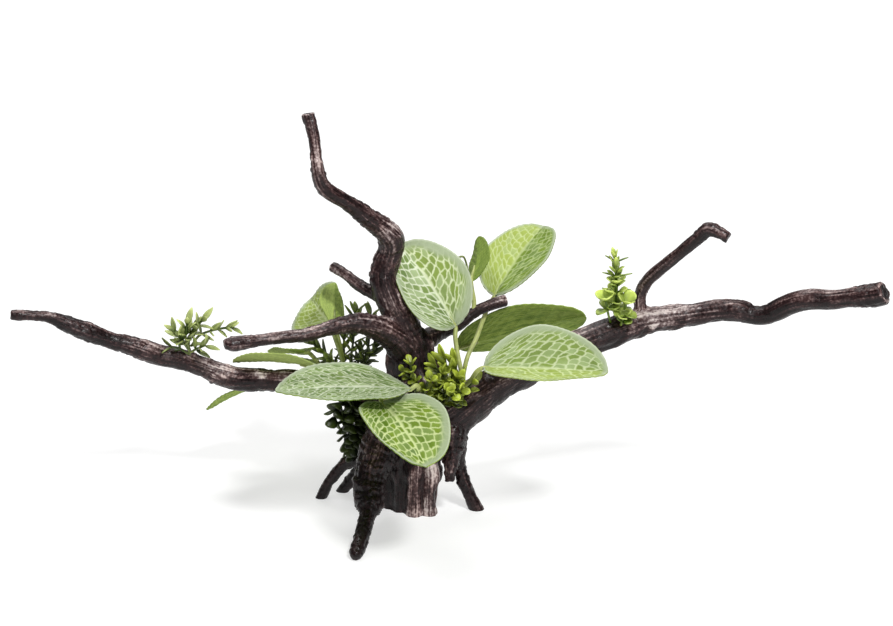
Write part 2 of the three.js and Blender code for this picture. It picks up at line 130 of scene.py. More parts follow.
# Three thick ridges down the front and right of the cut block, which is part of the stump.
FRONT_RIDGE = [
    (2.8, -7.5, 30, 4.5), (2, -11.6, 21, 6), (1.3, -12.7, 11, 5.8), (1, -12.9, 0, 6.2),
    (1, -12.9, -4, 6.2),
]
CORNER_RIDGE = [
    (8, -6, 27, 4.5), (8.4, -10.6, 19, 6.4), (8, -11.4, 10, 6), (7.7, -11.5, 0, 6.6),
    (7.7, -11.5, -4, 6.6),
]
SIDE_RIDGE = [(10, -4, 24, 4), (10.3, -5, 17, 6.2), (9, -5.5, 10, 5), (8, -5, 0, 5), (8, -5, -4, 5)]
# The solid that each limb stands for, its stations, the height in millimetres of its folds
# (broad and long), its lumps, its warts and the wrinkles that go across it, how much more or
# less than the rest it is dry-brushed and painted light (painted shade on the stump and the
# roots low down, partly painted highlights on the block's front ridges), and whether its tip
# is sawn off.
LIMBS = [
    ("stump", STUMP, (2.2, 1.3, 0.35, 0), -0.27, False),
    ("stump", FRONT_RIDGE, (0.6, 1.6, 0.4, 0), 0.42, False),
    ("stump", CORNER_RIDGE, (0.6, 1.8, 0.4, 0), 0.42, False),
    ("stump", SIDE_RIDGE, (0.5, 1, 0.3, 0), 0.02, False),
    ("right_arm", RIGHT_ARM, (0.5, 0.25, 0.12, 0), -0.02, True),
    ("left_arm", LEFT_ARM, (0.45, 0.35, 0.14, 0), 0.03, False),
    ("upright_branch", UPRIGHT_BRANCH, (0.4, 0.35, 0.12, 0.02), 0.07, True),
    ("front_left_branch", FRONT_LEFT_BRANCH, (0.45, 0.4, 0.1, 0), 0.06, False),
    ("front_root", FRONT_ROOT, (0.6, 0.6, 0.25, 0.14), -0.3, False),
    ("right_arm_fork", RIGHT_ARM_FORK, (0.35, 0.35, 0.12, 0), 0.04, False),
    ("back_branch", BACK_BRANCH, (0.35, 0.4, 0.16, 0), -0.05, True),
    ("upright_twig", UPRIGHT_TWIG, (0.3, 0.3, 0.12, 0), 0.04, True),
    ("right_stub", RIGHT_STUB, (0.8, 0.7, 0.3, 0), -0.04, False),
    ("right_root", RIGHT_ROOT, (0.5, 0.5, 0.2, 0.1), -0.06, True),
    ("back_left_root_1", BACK_LEFT_ROOT_1, (0.4, 0.5, 0.2, 0.1), -0.4, True),
    ("back_left_root_2", BACK_LEFT_ROOT_2, (0.4, 0.5, 0.2, 0.1), -0.4, True),
]
ROUTE_PITCH = 1.2 * MM
LIMB_SIDES = 28
CASTING_GRID = 0.74 * MM  # fine enough for the folds and warts; finer grain is in the finish
STUMP_PARTS = 4  # the first rows of LIMBS
SHRINKAGE = 0.2 * MM  # what smoothing takes off, put on beforehand
FORK_REACH = 2.2 * MM  # how far a fork's filled corner reaches
FORK_BLEND = 0.7 * MM  # over what distance one limb's grain gives way to the next one's
FULL_RELIEF = 5.5  # the radius in millimetres from which a limb has its relief in full
FIRST_SIDE = Vector((0.3, 1, 0.2))  # no limb starts along this
# Where side branches once grew: the middle and radius of each scar in millimetres.
KNOTS = [
    ((87, 2, 83.7), 2.8), ((48, -8, 64), 2.6), ((-12, -6, 109), 2.2), ((-10, 15.5, 20), 3.6),
    ((10.5, 13.5, 34), 3.4), ((150, 9.8, 88), 2.4), ((-73, 24.6, 52.5), 2.6), ((12, -9.5, 34), 3),
]
# The places that the dry brush went over most, and where painted highlights stand for the lights'
# glints on the limbs: their middles and radii in millimetres.
RUBBED_AND_HIGHLIT = [
    ((98, 3, 87), 8), ((108, 4, 88), 8), ((122, 5, 89), 6), ((181, -10, 101), 5), ((-90, 14, 58), 6),
    ((-82, 14, 56), 5), ((-68, 15, 55), 5), ((-112, 11, 68), 6), ((-9, -6, 126), 8),
    ((-38, -14, 163), 7), ((60, -4, 74), 10), ((44, -8, 64), 8),
]
# The grain, in millimetres: how wide and how long its folds, cracks and fibres are, how much
# wider folds are on a thick limb, and how large its lumps, warts and pits are.
FOLD_WIDTH, FOLD_GROWTH, FOLD_LENGTH = 3, 0.36, 45
CRACK_WIDTH, CRACK_LENGTH = 2.4, 24
FIBRE_WIDTH, FIBRE_LENGTH = 1.4, 12
LUMP_SIZE, WART_SIZE, PIT_SIZE = 7.5, 3.2, 1.7
# How much each of them rises or sinks, the fibres in millimetres and the rest as shares of the
# heights in LIMBS, and from what level of its noise it starts.
FOLD_RISE, FOLD_MEAN, LUMP_RISE, FIBRE_RISE = 3, 0.75, 1.3, 0.22
WART_RISE, WART_START, WART_MEAN = 1.9, 0.2, 0.12
CRACK_EDGE, PIT_RISE, PIT_START = 0.11, 2.6, 0.38
THIN_LIMB_POWER = 0.7
# A knot's rings and hollows in one radius, how many radii it reaches, and its height in
# millimetres.
KNOT_RINGS, KNOT_REACH, KNOT_RISE = 2.6, 1.6, 0.32
# The wear, 0 to 1, with painted light in it: what all the wood has, and what height in
# millimetres, chance, facing up (a painted highlight on the upward-facing sides), being rubbed
# and highlit (partly painted highlights), the foot, its cut rim, the grooves between the
# block's ridges (painted shade), and the rim and the face of a sawn tip add to it.
WEAR, WEAR_HIGH, WEAR_PATCH, PAINTED_TOP_LIGHT, RUB_AND_HIGHLIGHT = 0.36, 0.28, 0.32, 0.26, 0.26
WEAR_FOOT, WEAR_FOOT_RIM, PAINTED_GROOVE_SHADE = 0.12, 0.75, -0.45
WEAR_SAWN_RIM, WEAR_SAWN_FACE = 0.5, -0.35
FOOT_HEIGHT, FOOT_RIM, GROOVE_WIDTH = 26 * MM, 3.5 * MM, 2.2 * MM
SAWN_RIM, SAWN_FACE = 1.1 * MM, 0.6 * MM
PATCH_SIZES = (16 * MM, 5 * MM)
LEAST_SHARE = 0.04  # a limb with less of a say in a fork's relief than this is left out there
GRAIN_SHIFT = 50  # in millimetres, so that no two limbs have the same grain
SKIN_SMOOTHING, FORK_SMOOTHING = 3, 14  # in passes
AT_FLOOR = 0.05 * MM


def route_through(stations, pitch):
    """Points about a pitch apart on the smooth curve through the stations, diameters included."""
    points = np.array(stations, float) * MM
    row = np.vstack([2 * points[0] - points[1], points, 2 * points[-1] - points[-2]])
    gaps = np.linalg.norm(np.diff(row[:, :3], axis=0), axis=1)
    knots = np.concatenate([[0], np.cumsum(np.sqrt(gaps))])
    samples = []
    for i in range(1, len(row) - 2):
        p0, p1, p2, p3 = row[i - 1:i + 3]
        t0, t1, t2, t3 = knots[i - 1:i + 3]
        steps = max(1, round(gaps[i] / pitch))
        for t in np.linspace(t1, t2, steps, endpoint=False):
            a = ((t1 - t) * p0 + (t - t0) * p1) / (t1 - t0)
            b = ((t2 - t) * p1 + (t - t1) * p2) / (t2 - t1)
            c = ((t3 - t) * p2 + (t - t2) * p3) / (t3 - t2)
            d = ((t2 - t) * a + (t - t0) * b) / (t2 - t0)
            e = ((t3 - t) * b + (t - t1) * c) / (t3 - t1)
            samples.append(((t2 - t) * d + (t - t1) * e) / (t2 - t1))
    samples.append(points[-1])
    return np.array(samples)


def frames_along(route):
    """A frame at each point of a route: two sideways axes that don't twist, then the tangent."""
    tangents = np.gradient(route[:, :3], axis=0)
    side = FIRST_SIDE.cross(Vector(tangents[0]))
    frames = []
    for point, direction in zip(route[:, :3], tangents):
        tangent = Vector(direction).normalized()
        side = (side - side.dot(tangent) * tangent).normalized()
        other = tangent.cross(side)
        turned = Matrix((side, other, tangent)).transposed().to_4x4()
        frames.append(Matrix.Translation(point) @ turned)
    return frames


def sweep(bm, frames, radii, sides):
    """A closed round bar through the frames, made by extruding one ring from frame to frame."""
    places = [place @ Matrix.Diagonal((r, r, 1, 1)) for place, r in zip(frames, radii)]
    ring = bmesh.ops.create_circle(bm, cap_ends=True, segments=sides, radius=1, matrix=places[0])
    verts = ring["verts"]
    edges = list(dict.fromkeys(edge for vert in verts for edge in vert.link_edges))
    for before, after in zip(places, places[1:]):
        moved = bmesh.ops.extrude_edge_only(bm, edges=edges)["geom"]
        verts = [item for item in moved if isinstance(item, bmesh.types.BMVert)]
        edges = [item for item in moved if isinstance(item, bmesh.types.BMEdge)]
        edges = [edge for edge in edges if edge.is_boundary]
        bmesh.ops.transform(bm, matrix=after @ before.inverted(), verts=verts)
    bmesh.ops.edgeloop_fill(bm, edges=edges)


def new_piece(name, bm, materials, smooth=True):
    """The finished mesh as an object in the scene; its place is in its mesh."""
    mesh = bpy.data.meshes.new(name)
    bm.to_mesh(mesh)
    bm.free()
    mesh.polygons.foreach_set("use_smooth", [smooth] * len(mesh.polygons))
    for material in materials:
        mesh.materials.append(material)
    piece = bpy.data.objects.new(name, mesh)
    scene.collection.objects.link(piece)
    return piece


def attach(piece, **values):
    """Gives each vertex of a piece numbers or vectors, by name, for its material to read."""
    for name, rows in values.items():
        flat = np.ravel(rows)
        kind, field = ("FLOAT", "value")
        if len(flat) > len(piece.data.vertices):
            kind, field = ("FLOAT_VECTOR", "vector")
        piece.data.attributes.new(name, kind, "POINT").data.foreach_set(field, flat)


def sweep_limbs():
    """The sampled middle of every limb, for the grain, and one bmesh of all the bars."""
    bm = bmesh.new()
    limbs = []
    for _, stations, heights, brush_and_painted_light, sawn in LIMBS:
        route = route_through(stations, ROUTE_PITCH)
        frames = frames_along(route)
        radii = route[:, 3] / 2
        sweep(bm, frames, radii + SHRINKAGE, LIMB_SIDES)
        steps = np.linalg.norm(np.diff(route[:, :3], axis=0), axis=1)
        limbs.append({
            "centres": route[:, :3],
            "axes": np.array([place.to_3x3().transposed() for place in frames]),
            "radii": radii,
            "travel": np.concatenate([[0], np.cumsum(steps)]),
            "relief": heights,
            "brush_and_painted_light": brush_and_painted_light,
            "sawn": sawn,
        })
    bmesh.ops.recalc_face_normals(bm, faces=bm.faces)
    return bm, limbs


def fused(bm):
    """All the bars as one skin, on an even grid."""
    rough = new_piece("rough_casting", bm, [])
    remesh = rough.modifiers.new("one_skin", "REMESH")
    remesh.mode = "VOXEL"
    remesh.voxel_size = CASTING_GRID
    shown = rough.evaluated_get(bpy.context.evaluated_depsgraph_get())
    skin = bmesh.new()
    skin.from_mesh(shown.to_mesh())
    bpy.data.objects.remove(rough)
    return skin


def limb_grid(points, limb):
    """Where points lie on a limb: across it both ways and along it, how far off its skin they
    are, and how thick it is there."""
    centres = limb["centres"]
    squares = (points ** 2).sum(1)[:, None] - 2 * points @ centres.T + (centres ** 2).sum(1)
    nearest = squares.argmin(1)
    offset = points - centres[nearest]
    local = np.einsum("nij,nj->ni", limb["axes"][nearest], offset)
    local[:, 2] += limb["travel"][nearest]
    radii = limb["radii"][nearest]
    return local, np.linalg.norm(offset, axis=1) - radii, radii


def relief(spot, radius, height):
    """Height of the wood's surface in millimetres at a spot on a limb, also in millimetres.
    Folds and fibres are long, round on top and creased where they meet. Thin limbs have less."""
    folds, lumps, warts, wrinkles = height
    a, b, along = spot
    fold_width = FOLD_WIDTH + FOLD_GROWTH * radius

    def streaks(width, length, shift):
        return noise.noise(Vector((a / width, b / width, along / length)) + Vector(shift))

    fold = streaks(fold_width, FOLD_LENGTH, (0, 0, 0))
    crack = streaks(CRACK_WIDTH, CRACK_LENGTH, (9, 4, 2))
    fibre = streaks(FIBRE_WIDTH, FIBRE_LENGTH, (3, 8, 5))
    lump = noise.noise(Vector(spot) / LUMP_SIZE)
    wart = noise.noise(Vector(spot) / WART_SIZE + Vector((5, 1, 7)))
    pit = noise.noise(Vector(spot) / PIT_SIZE + Vector((2, 6, 1)))
    groove = max(0, 1 - abs(crack) / CRACK_EDGE)
    total = folds * (FOLD_RISE * abs(fold) - FOLD_MEAN) + LUMP_RISE * lumps * lump
    total += FIBRE_RISE * fibre
    total += warts * (WART_RISE * max(0, wart - WART_START) - WART_MEAN - groove)
    total -= PIT_RISE * warts * max(0, pit - PIT_START)
    total += wrinkles * math.sin(along * 2 + 7 * lump + a / 2 + 3 * wart)
    return total * min(1, radius / FULL_RELIEF) ** THIN_LIMB_POWER


def knot_relief(point):
    """Height in millimetres of the ringed scars where side branches once grew."""
    total = 0
    for centre, radius in KNOTS:
        away = (point - Vector(centre) * MM).length / MM / radius
        if away < KNOT_REACH:
            rings = math.cos(KNOT_RINGS * math.pi * away)
            total += KNOT_RISE * rings * max(0, 1 - away / KNOT_REACH)
    return total


def sawn_wear(limb, grid):
    """What a sawn tip adds to the wear: its rim is rubbed pale, and its face stays dark."""
    if not limb["sawn"]:
        return 0
    local, _, radii = grid
    left = np.abs(limb["travel"][-1] - local[:, 2])
    out = np.hypot(local[:, 0], local[:, 1]) / radii
    rim = np.clip(1 - left / SAWN_RIM, 0, 1) * np.clip((out - 0.62) / 0.15, 0, 1)
    face = (left < SAWN_FACE) * np.clip((0.75 - out) / 0.15, 0, 1)
    return WEAR_SAWN_RIM * rim + WEAR_SAWN_FACE * face


def smooth(bm, verts, times):
    for _ in range(times):
        bmesh.ops.smooth_vert(
            bm, verts=verts, factor=0.5, use_axis_x=True, use_axis_y=True, use_axis_z=True,
        )


def filled_forks(bm, limbs):
    """Smooths the skin, and much more so in the corners where two limbs meet."""
    smooth(bm, bm.verts, SKIN_SMOOTHING)
    points = np.array([vert.co for vert in bm.verts])
    depths = np.array([limb_grid(points, limb)[1] for limb in limbs])
    depths = np.sort(np.vstack([depths[:STUMP_PARTS].min(0), depths[STUMP_PARTS:]]), axis=0)
    corners = [vert for vert, depth in zip(bm.verts, depths[1]) if depth < FORK_REACH]
    smooth(bm, corners, FORK_SMOOTHING)


def cut_flat(bm):
    """Saws the foot and the root tips off level with the floor."""
    geometry = bm.verts[:] + bm.edges[:] + bm.faces[:]
    cut = bmesh.ops.bisect_plane(
        bm, geom=geometry, plane_co=(0, 0, 0), plane_no=(0, 0, -1), clear_outer=True, dist=1e-6,
    )
    rims = [item for item in cut["geom_cut"] if isinstance(item, bmesh.types.BMEdge)]
    bmesh.ops.holes_fill(bm, edges=rims, sides=0)


def carve(bm, limbs):
    """Raises the relief on the skin, and gives each vertex its place in the grain and its wear, with
    painted highlights and painted shade in it.
    """
    points = np.array([vert.co for vert in bm.verts])
    grids = [limb_grid(points, limb) for limb in limbs]
    depths = np.array([depth for _, depth, _ in grids])
    shares = np.exp((depths.min(0) - depths) / FORK_BLEND)
    shares /= shares.sum(0)
    nearest = depths.argmin(0)
    on_block = nearest < STUMP_PARTS
    tips = np.array([
        sawn_wear(limb, grid) + np.zeros(len(points)) for limb, grid in zip(limbs, grids)
    ])
    grain = np.zeros((len(points), 3))
    wear = np.zeros(len(points))
    block = np.sort(depths[:STUMP_PARTS], axis=0)
    # The grooves between the block's ridges, which get painted shade.
    shaded_grooves = np.clip(1 - (block[1] - block[0]) / GROOVE_WIDTH, 0, 1) * on_block
    bm.normal_update()
    for i, vert in enumerate(bm.verts):
        height = 0
        for k in np.flatnonzero(shares[:, i] > LEAST_SHARE):
            spot = grids[k][0][i] / MM + GRAIN_SHIFT * k
            radius = float(grids[k][2][i]) / MM
            height += float(shares[k, i]) * relief(spot, radius, limbs[k]["relief"])
        height += knot_relief(vert.co)
        grain[i] = grids[nearest[i]][0][i] / MM + GRAIN_SHIFT * nearest[i]
        limb = limbs[nearest[i]]
        patch = noise.noise(vert.co / PATCH_SIZES[0]) + 0.5 * noise.noise(vert.co / PATCH_SIZES[1])
        foot = WEAR_FOOT * max(0, 1 - vert.co.z / FOOT_HEIGHT)
        foot += WEAR_FOOT_RIM * max(0, 1 - vert.co.z / FOOT_RIM)
        # Each limb's own share, dry brush and painted light: the stump and the roots low down are
        # painted darker as painted shade.
        wear[i] = WEAR + limb["brush_and_painted_light"] + WEAR_HIGH * height + WEAR_PATCH * patch
        # Painted highlight: the upward-facing sides are painted lighter, as the lights fall on them.
        wear[i] += PAINTED_TOP_LIGHT * vert.normal.z + tips[nearest[i], i]
        # Painted shade: the grooves between the block's ridges are painted darker.
        wear[i] += foot * on_block[i] + PAINTED_GROOVE_SHADE * shaded_grooves[i]
        # Lighter where the dry brush rubbed most, and painted highlights where the lights glint.
        for centre, radius in RUBBED_AND_HIGHLIT:
            away = (vert.co - Vector(centre) * MM).length / MM / radius
            wear[i] += RUB_AND_HIGHLIGHT * math.exp(-away * away) if away < 3 else 0
        on_floor = vert.co.z < AT_FLOOR
        vert.co += height * MM * vert.normal
        vert.co.z = 0 if on_floor else max(0, vert.co.z)
    return grain, np.clip(wear, 0, 1)


def linear(colour):
    """An sRGB hex colour as linear values with alpha."""
    parts = [int(colour[i:i + 2], 16) / 255 for i in (1, 3, 5)]
    return [c / 12.92 if c <= 0.04045 else ((c + 0.055) / 1.055) ** 2.4 for c in parts] + [1]


def new_material(name):
    """A material, its node tree and its surface shader."""
    material = bpy.data.materials.new(name)
    material.use_nodes = True
    tree = material.node_tree
    return material, tree, tree.nodes["Principled BSDF"]


def fill(node, inputs):
    """Fills a node's inputs, by name or in their order, with links, values or hex colours."""
    for key, value in inputs.items() if isinstance(inputs, dict) else enumerate(inputs):
        socket = node.inputs[key] if isinstance(key, int) else next(
            each for each in node.inputs if key in (each.identifier, each.name))
        if isinstance(value, bpy.types.NodeSocket):
            node.id_data.links.new(value, socket)
        else:
            socket.default_value = linear(value) if isinstance(value, str) else value


def add(tree, kind, inputs=(), **settings):
    """Adds a shader node, sets its properties, fills its inputs, and gives its outputs."""
    node = tree.nodes.new("ShaderNode" + kind)
    for name, value in settings.items():
        setattr(node, name, value)
    fill(node, inputs)
    return node.outputs


def layered(tree, colour, layers):
    """A colour with others over it in turn, each as strongly as its factor and share say."""
    for factor, share, over in layers:
        strength = add(tree, "Math", [factor, share], operation="MULTIPLY")[0]
        colour = add(tree, "Mix", {
            "Factor_Float": strength, "A_Color": colour, "B_Color": over,
        }, data_type="RGBA")[2]
    return colour


def stained_resin():
    """Cast polyester resin with a nearly black, purplish brown stain under a glossy varnish,
    dry-brushed with a pinkish grey where wear is high; the wear also holds painted highlights
    on the lit sides and painted shade low down and in the grooves. Its fibres are 1.2 mm wide
    and 20 mm long, and its pores and grains about 1.2 mm across, so that it sparkles under the
    lights."""
    material, tree, surface = new_material("stained_cast_resin")
    grain = add(tree, "Attribute", attribute_name="grain")["Vector"]
    wear = add(tree, "Attribute", attribute_name="wear")["Fac"]
    stretched = add(tree, "Mapping", {"Vector": grain, "Scale": (0.85, 0.85, 0.05)})[0]
    fibres = add(tree, "TexNoise", {
        "Vector": stretched, "Scale": 1.0, "Detail": 3.0, "Roughness": 0.6,
    })["Fac"]
    specks = add(tree, "TexNoise", {
        "Vector": grain, "Scale": 0.85, "Detail": 1.5, "Roughness": 0.55,
    })["Fac"]
    stain = add(tree, "TexNoise", {"Vector": grain, "Scale": 0.09, "Detail": 2.0})["Fac"]
    crests = add(tree, "MapRange", [fibres, 0.42, 0.62, 0.0, 0.5])[0]
    grains = add(tree, "MapRange", [specks, 0.42, 0.66, 0.0, 0.3])[0]
    # The wear attribute holds painted highlights and painted shade along with the dry brush.
    streaks = add(tree, "Math", [wear, crests], operation="ADD")[0]
    brush_and_painted_light = add(tree, "Math", [streaks, grains], operation="ADD")[0]
    share = add(tree, "Math", [brush_and_painted_light, 1 / 1.6], operation="MULTIPLY")[0]
    tone = add(tree, "ValToRGB", [share])["Color"]
    stops = tone.node.color_ramp.elements
    for index, (position, colour) in enumerate([
        (0.2, "#100909"), (0.48, "#2a1b1c"), (0.64, "#4d3b3a"), (0.79, "#877775"), (0.96, "#cfc3be"),
    ]):
        stop = stops[index] if index < 2 else stops.new(position)
        stop.position = position
        stop.color = linear(colour)
    warm = add(tree, "MapRange", [stain, 0.4, 0.65, 0.0, 0.5])[0]
    colour = add(tree, "Mix", {
        "Factor_Float": warm, "A_Color": tone, "B_Color": "#e6c8c4",
    }, data_type="RGBA", blend_type="MULTIPLY")[2]
    rough = add(tree, "Math", [specks, 0.6, fibres], operation="MULTIPLY_ADD")[0]
    fill(surface, {
        "Base Color": colour,
        "Roughness": add(tree, "MapRange", [specks, 0.35, 0.65, 0.25, 0.45])[0],
        "Normal": add(tree, "Bump", {"Height": rough, "Strength": 0.6, "Distance": 0.6 * MM})[0],
        "Specular IOR Level": 0.2,
        "Coat Weight": 0.12,
        "Coat Roughness": 0.2,
    })
    return material


bars, limbs = sweep_limbs()
skin = fused(bars)
filled_forks(skin, limbs)
cut_flat(skin)
grain, wear = carve(skin, limbs)
bmesh.ops.recalc_face_normals(skin, faces=skin.faces)
driftwood = new_piece("driftwood", skin, [stained_resin()])
attach(driftwood, grain=grain, wear=wear)
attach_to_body(driftwood, "root")
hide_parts(*dict.fromkeys(limb[0] for limb in LIMBS))


# The leaves: stamped from polyester fabric, printed on top with a pale net of veins, and
# glued on wired plastic stalks that are pushed into holes in the wood. base is where the
# blade starts, heading is its direction as azimuth and elevation, roll turns it about its
# midrib, droop is how far it arches and fold how far its halves are lifted, in degrees.
# net is its seed, how strongly its veins are printed, the side veins down each side, and how
# many cells there are from one side vein to the next and from the midrib to the edge. tones
# say how silvery, how yellow and how shaded its left and right halves are, 0 to 1, seen from
# the base; the shading is painted shade. margin is how wide its plain edge is in millimetres
# on its left and right, and ends is how full it is at its base and tip; the lower, the rounder
# its outline. stalk is how light the stalk is painted, 0 to 1, as painted light and shade (the
# darkest run in shadow behind the wood), and its points from the base to the wood.
LEAVES = [
    dict(
        name="leaf_top", base=(19.5, 2.5, 83), heading=(160, 53), roll=-41,
        length=43.5, width=34.5, droop=37, fold=18, net=(1.3, 1, 10, 1, 5),
        tones=((0.85, 0.1, 0), (0.45, 0.35, 0)), margin=(1.5, 4.5), ends=(0.6, 0.5),
        stalk=(0.7, [(19.2, 0.5, 78.8), (20.2, -2, 72), (21.6, -4, 65), (21.5, -4, 58), (20, -2, 50)]),
    ),
    dict(
        name="leaf_behind_top", base=(26.5, 14.5, 99.5), heading=(83, 25), roll=138,
        length=28.5, width=13, droop=20, fold=13, net=(2.1, 0.5, 7, 1, 4),
        tones=((0, 0, 0.5), (0, 0, 0.5)), margin=(1, 1), ends=(0.6, 0.5),
        stalk=(0.7, [(26.5, 14, 96), (27.5, 14, 90), (27, 13.5, 85)]),
    ),
    # Painted light and shade on this leaf's fold: its left half is painted light yellow where light
    # falls on and through it, and its right half painted shaded.
    dict(
        name="leaf_upper_right", base=(36.5, 24, 89.5), heading=(57.5, 26), roll=-1,
        length=47.4, width=32.2, droop=20, fold=10, net=(3.7, 0.5, 11, 1, 5),
        tones=((0.15, 0.9, 0), (0.1, 0.15, 0.3)), margin=(1, 1.6), ends=(0.62, 0.4),
        stalk=(0.7, [
            (34, 22, 85), (31.5, 16, 81), (28.5, 8, 75.5),
            (24.5, 1, 69), (22.5, -1, 60), (21, -1, 50),
        ]),
    ),
    dict(
        name="leaf_rear_right", base=(20.5, 30, 62.6), heading=(-12.5, 18.8), roll=-52,
        length=61, width=32.5, droop=12, fold=6, net=(4.4, 0.5, 8, 1, 4),
        tones=((0, 0.06, 0), (0, 0.06, 0)), margin=(2, 2), ends=(0.6, 0.5),
        stalk=(0.5, [(19, 27, 62), (19, 20, 60), (17, 11, 56), (14, 3, 47)]),
    ),
    dict(
        name="leaf_right", base=(31.5, -18, 72), heading=(-14.5, 3), roll=26,
        length=54, width=37.5, droop=7, fold=31, net=(5.2, 0.7, 11, 1, 6),
        tones=((0.55, 0.35, 0), (0.2, 0.75, 0)), margin=(2.5, 1), ends=(0.58, 0.52),
        stalk=(0.8, [(29, -17, 70), (26, -13, 64), (23, -8, 58), (22, -4, 50)]),
    ),
    dict(
        name="leaf_left", base=(0, -22, 63.6), heading=(-161.5, 6), roll=-5,
        length=60, width=38.5, droop=12, fold=8, net=(6.8, 0.9, 10, 2, 7),
        tones=((0.95, 0, 0.2), (0.8, 0, 0.18)), margin=(2, 2), ends=(0.8, 0.66),
        stalk=(0.8, [(2, -21, 64.5), (3.5, -17, 62), (2, -9, 57)]),
    ),
    dict(
        name="leaf_front", base=(-12, -29.5, 60), heading=(-66.5, -12.5), roll=1,
        length=49.6, width=38.5, droop=27, fold=21, net=(7.9, 1, 10, 1, 5),
        tones=((0, 0.1, 0.25), (0, 0, 0.2)), margin=(4, 1), ends=(0.6, 0.36),
        stalk=(0.4, [(-12.5, -27, 60), (-12, -21, 58.5), (-7, -7, 54)]),
    ),
    dict(
        name="leaf_rear_left_1", base=(-34, 15.5, 76.7), heading=(106.5, -1), roll=-46,
        length=44.6, width=30, droop=17, fold=15, net=(8.3, 0.7, 9, 1, 5),
        tones=((0.2, 0.7, 0), (0.2, 0.7, 0)), margin=(2, 2), ends=(0.66, 0.95),
        stalk=(0, [(-33, 14, 75.5), (-31, 12, 67), (-29, 11.5, 52)]),
    ),
    dict(
        name="leaf_rear_left_2", base=(-34, 3.5, 83.4), heading=(90.8, 16), roll=-138,
        length=31, width=14.5, droop=6, fold=6, net=(9.6, 0.5, 8, 1, 4),
        tones=((0, 0.1, 0.2), (0, 0.5, 0)), margin=(1, 1), ends=(0.7, 0.7),
        stalk=(0, [(-34, 3.5, 81), (-31.5, 6.5, 70), (-27, 10.5, 52)]),
    ),
    dict(
        name="leaf_over_left_arm", base=(-40, 14, 59.2), heading=(165.5, -2), roll=23,
        length=41.5, width=25, droop=20, fold=14, net=(10.7, 0.6, 8, 1, 4),
        tones=((0.4, 0.8, 0), (0.4, 0.8, 0)), margin=(2, 2), ends=(0.65, 0.55),
        stalk=(0.8, [(-38.5, 13.5, 60), (-35, 13, 57.5), (-32.5, 12, 52)]),
    ),
    dict(
        name="leaf_rear_left_3", base=(-47, 24, 63), heading=(120, -20), roll=12,
        length=38, width=15, droop=3, fold=13, net=(11.2, 0.6, 8, 1, 4),
        tones=((0, 0.6, 0), (0, 0.6, 0)), margin=(1, 1), ends=(0.6, 0.5),
        stalk=(0.7, [(-46, 22.5, 63), (-42, 19, 60), (-36, 13.5, 52)]),
    ),
    dict(
        name="leaf_under_left_arm", base=(-57, 27, 50), heading=(165, -28), roll=9,
        length=43, width=23, droop=17, fold=9, net=(12.5, 0.6, 8, 1, 4),
        tones=((0.4, 0.2, 0), (0.4, 0.2, 0)), margin=(1.5, 1.5), ends=(0.62, 0.55),
        stalk=(0.6, [(-55.5, 26.5, 50.5), (-50, 24, 51), (-42, 14.5, 51.5)]),
    ),
]
BLADE_LEAN = 0.92  # under 1, a blade is broadest below its middle
BLADE_END = 0.5 * MM  # half the width that is left at its base and tip
FOLD_CURVE = 1.3
FABRIC_THICKNESS = 0.5 * MM
FABRIC_GRID = 0.6 * MM
VEIN_SWEEP = 0.5  # how far along the blade a side vein runs on by the time it meets the edge
VEIN_BEND = 1.15
CELL_JITTER = 0.52  # how irregular the cells are, 0 to 1
THREAD_PITCH = 0.9  # in millimetres; the real one is 0.3, which is too fine to show
# What the stamp leaves, in millimetres: how deep the side veins and the midrib are, how wide
# the midrib is, and how high the cloth is between the veins, along the edge and at random.
VEIN_DEPTH, MIDRIB_DEPTH, MIDRIB_WIDTH = -0.28, -0.55, 1.1
PILLOW_HEIGHT, WAVE_HEIGHT, BUMP_HEIGHT = 0.12, 0.35, 0.45
SOFT_EDGE = {"interpolation_type": "SMOOTHSTEP"}
# A stalk, in millimetres: its diameter up to the blade, where the blade starts and at its end
# under the midrib, how much it thickens from there, how far it runs on under the midrib, and
# how far its middle lies under the cloth, there and where the blade starts.
STALK_DIAMETER, STALK_AT_BASE, STALK_TIP, STALK_TAPER = 2, 1.9, 0.8, 0.9
STALK_LAP, STALK_DROP, DROP_AT_BASE = 10, 0.9, 0.6
STALK_PITCH, STALK_SIDES = 1.2 * MM, 12


def vein_phase(leaf, across, share):
    """Whole numbers of this are side veins, which leave the midrib and sweep to the tip."""
    run = VEIN_SWEEP * abs(across) ** VEIN_BEND
    return (share - run) / (1 - run) * leaf["net"][2] + (0.5 if across > 0 else 0)


def blade_half_width(leaf, share):
    at_base, at_tip = leaf["ends"]
    fullness = at_base + (at_tip - at_base) * share
    profile = math.sin(math.pi * share ** BLADE_LEAN) ** fullness if 0 < share < 1 else 0
    return max(BLADE_END, profile * leaf["width"] * MM / 2)


def blade_axes(leaf):
    """The blade's directions at its middle: along the midrib, across it and out of its face."""
    azimuth, elevation = map(math.radians, leaf["heading"])
    level = Vector((math.sin(azimuth), -math.cos(azimuth), 0))
    ahead = Vector((math.cos(azimuth), math.sin(azimuth), 0))
    forward = Matrix.Rotation(elevation, 3, level) @ ahead
    up = Matrix.Rotation(math.radians(leaf["roll"]), 3, forward) @ level.cross(forward)
    return forward, forward.cross(up), up


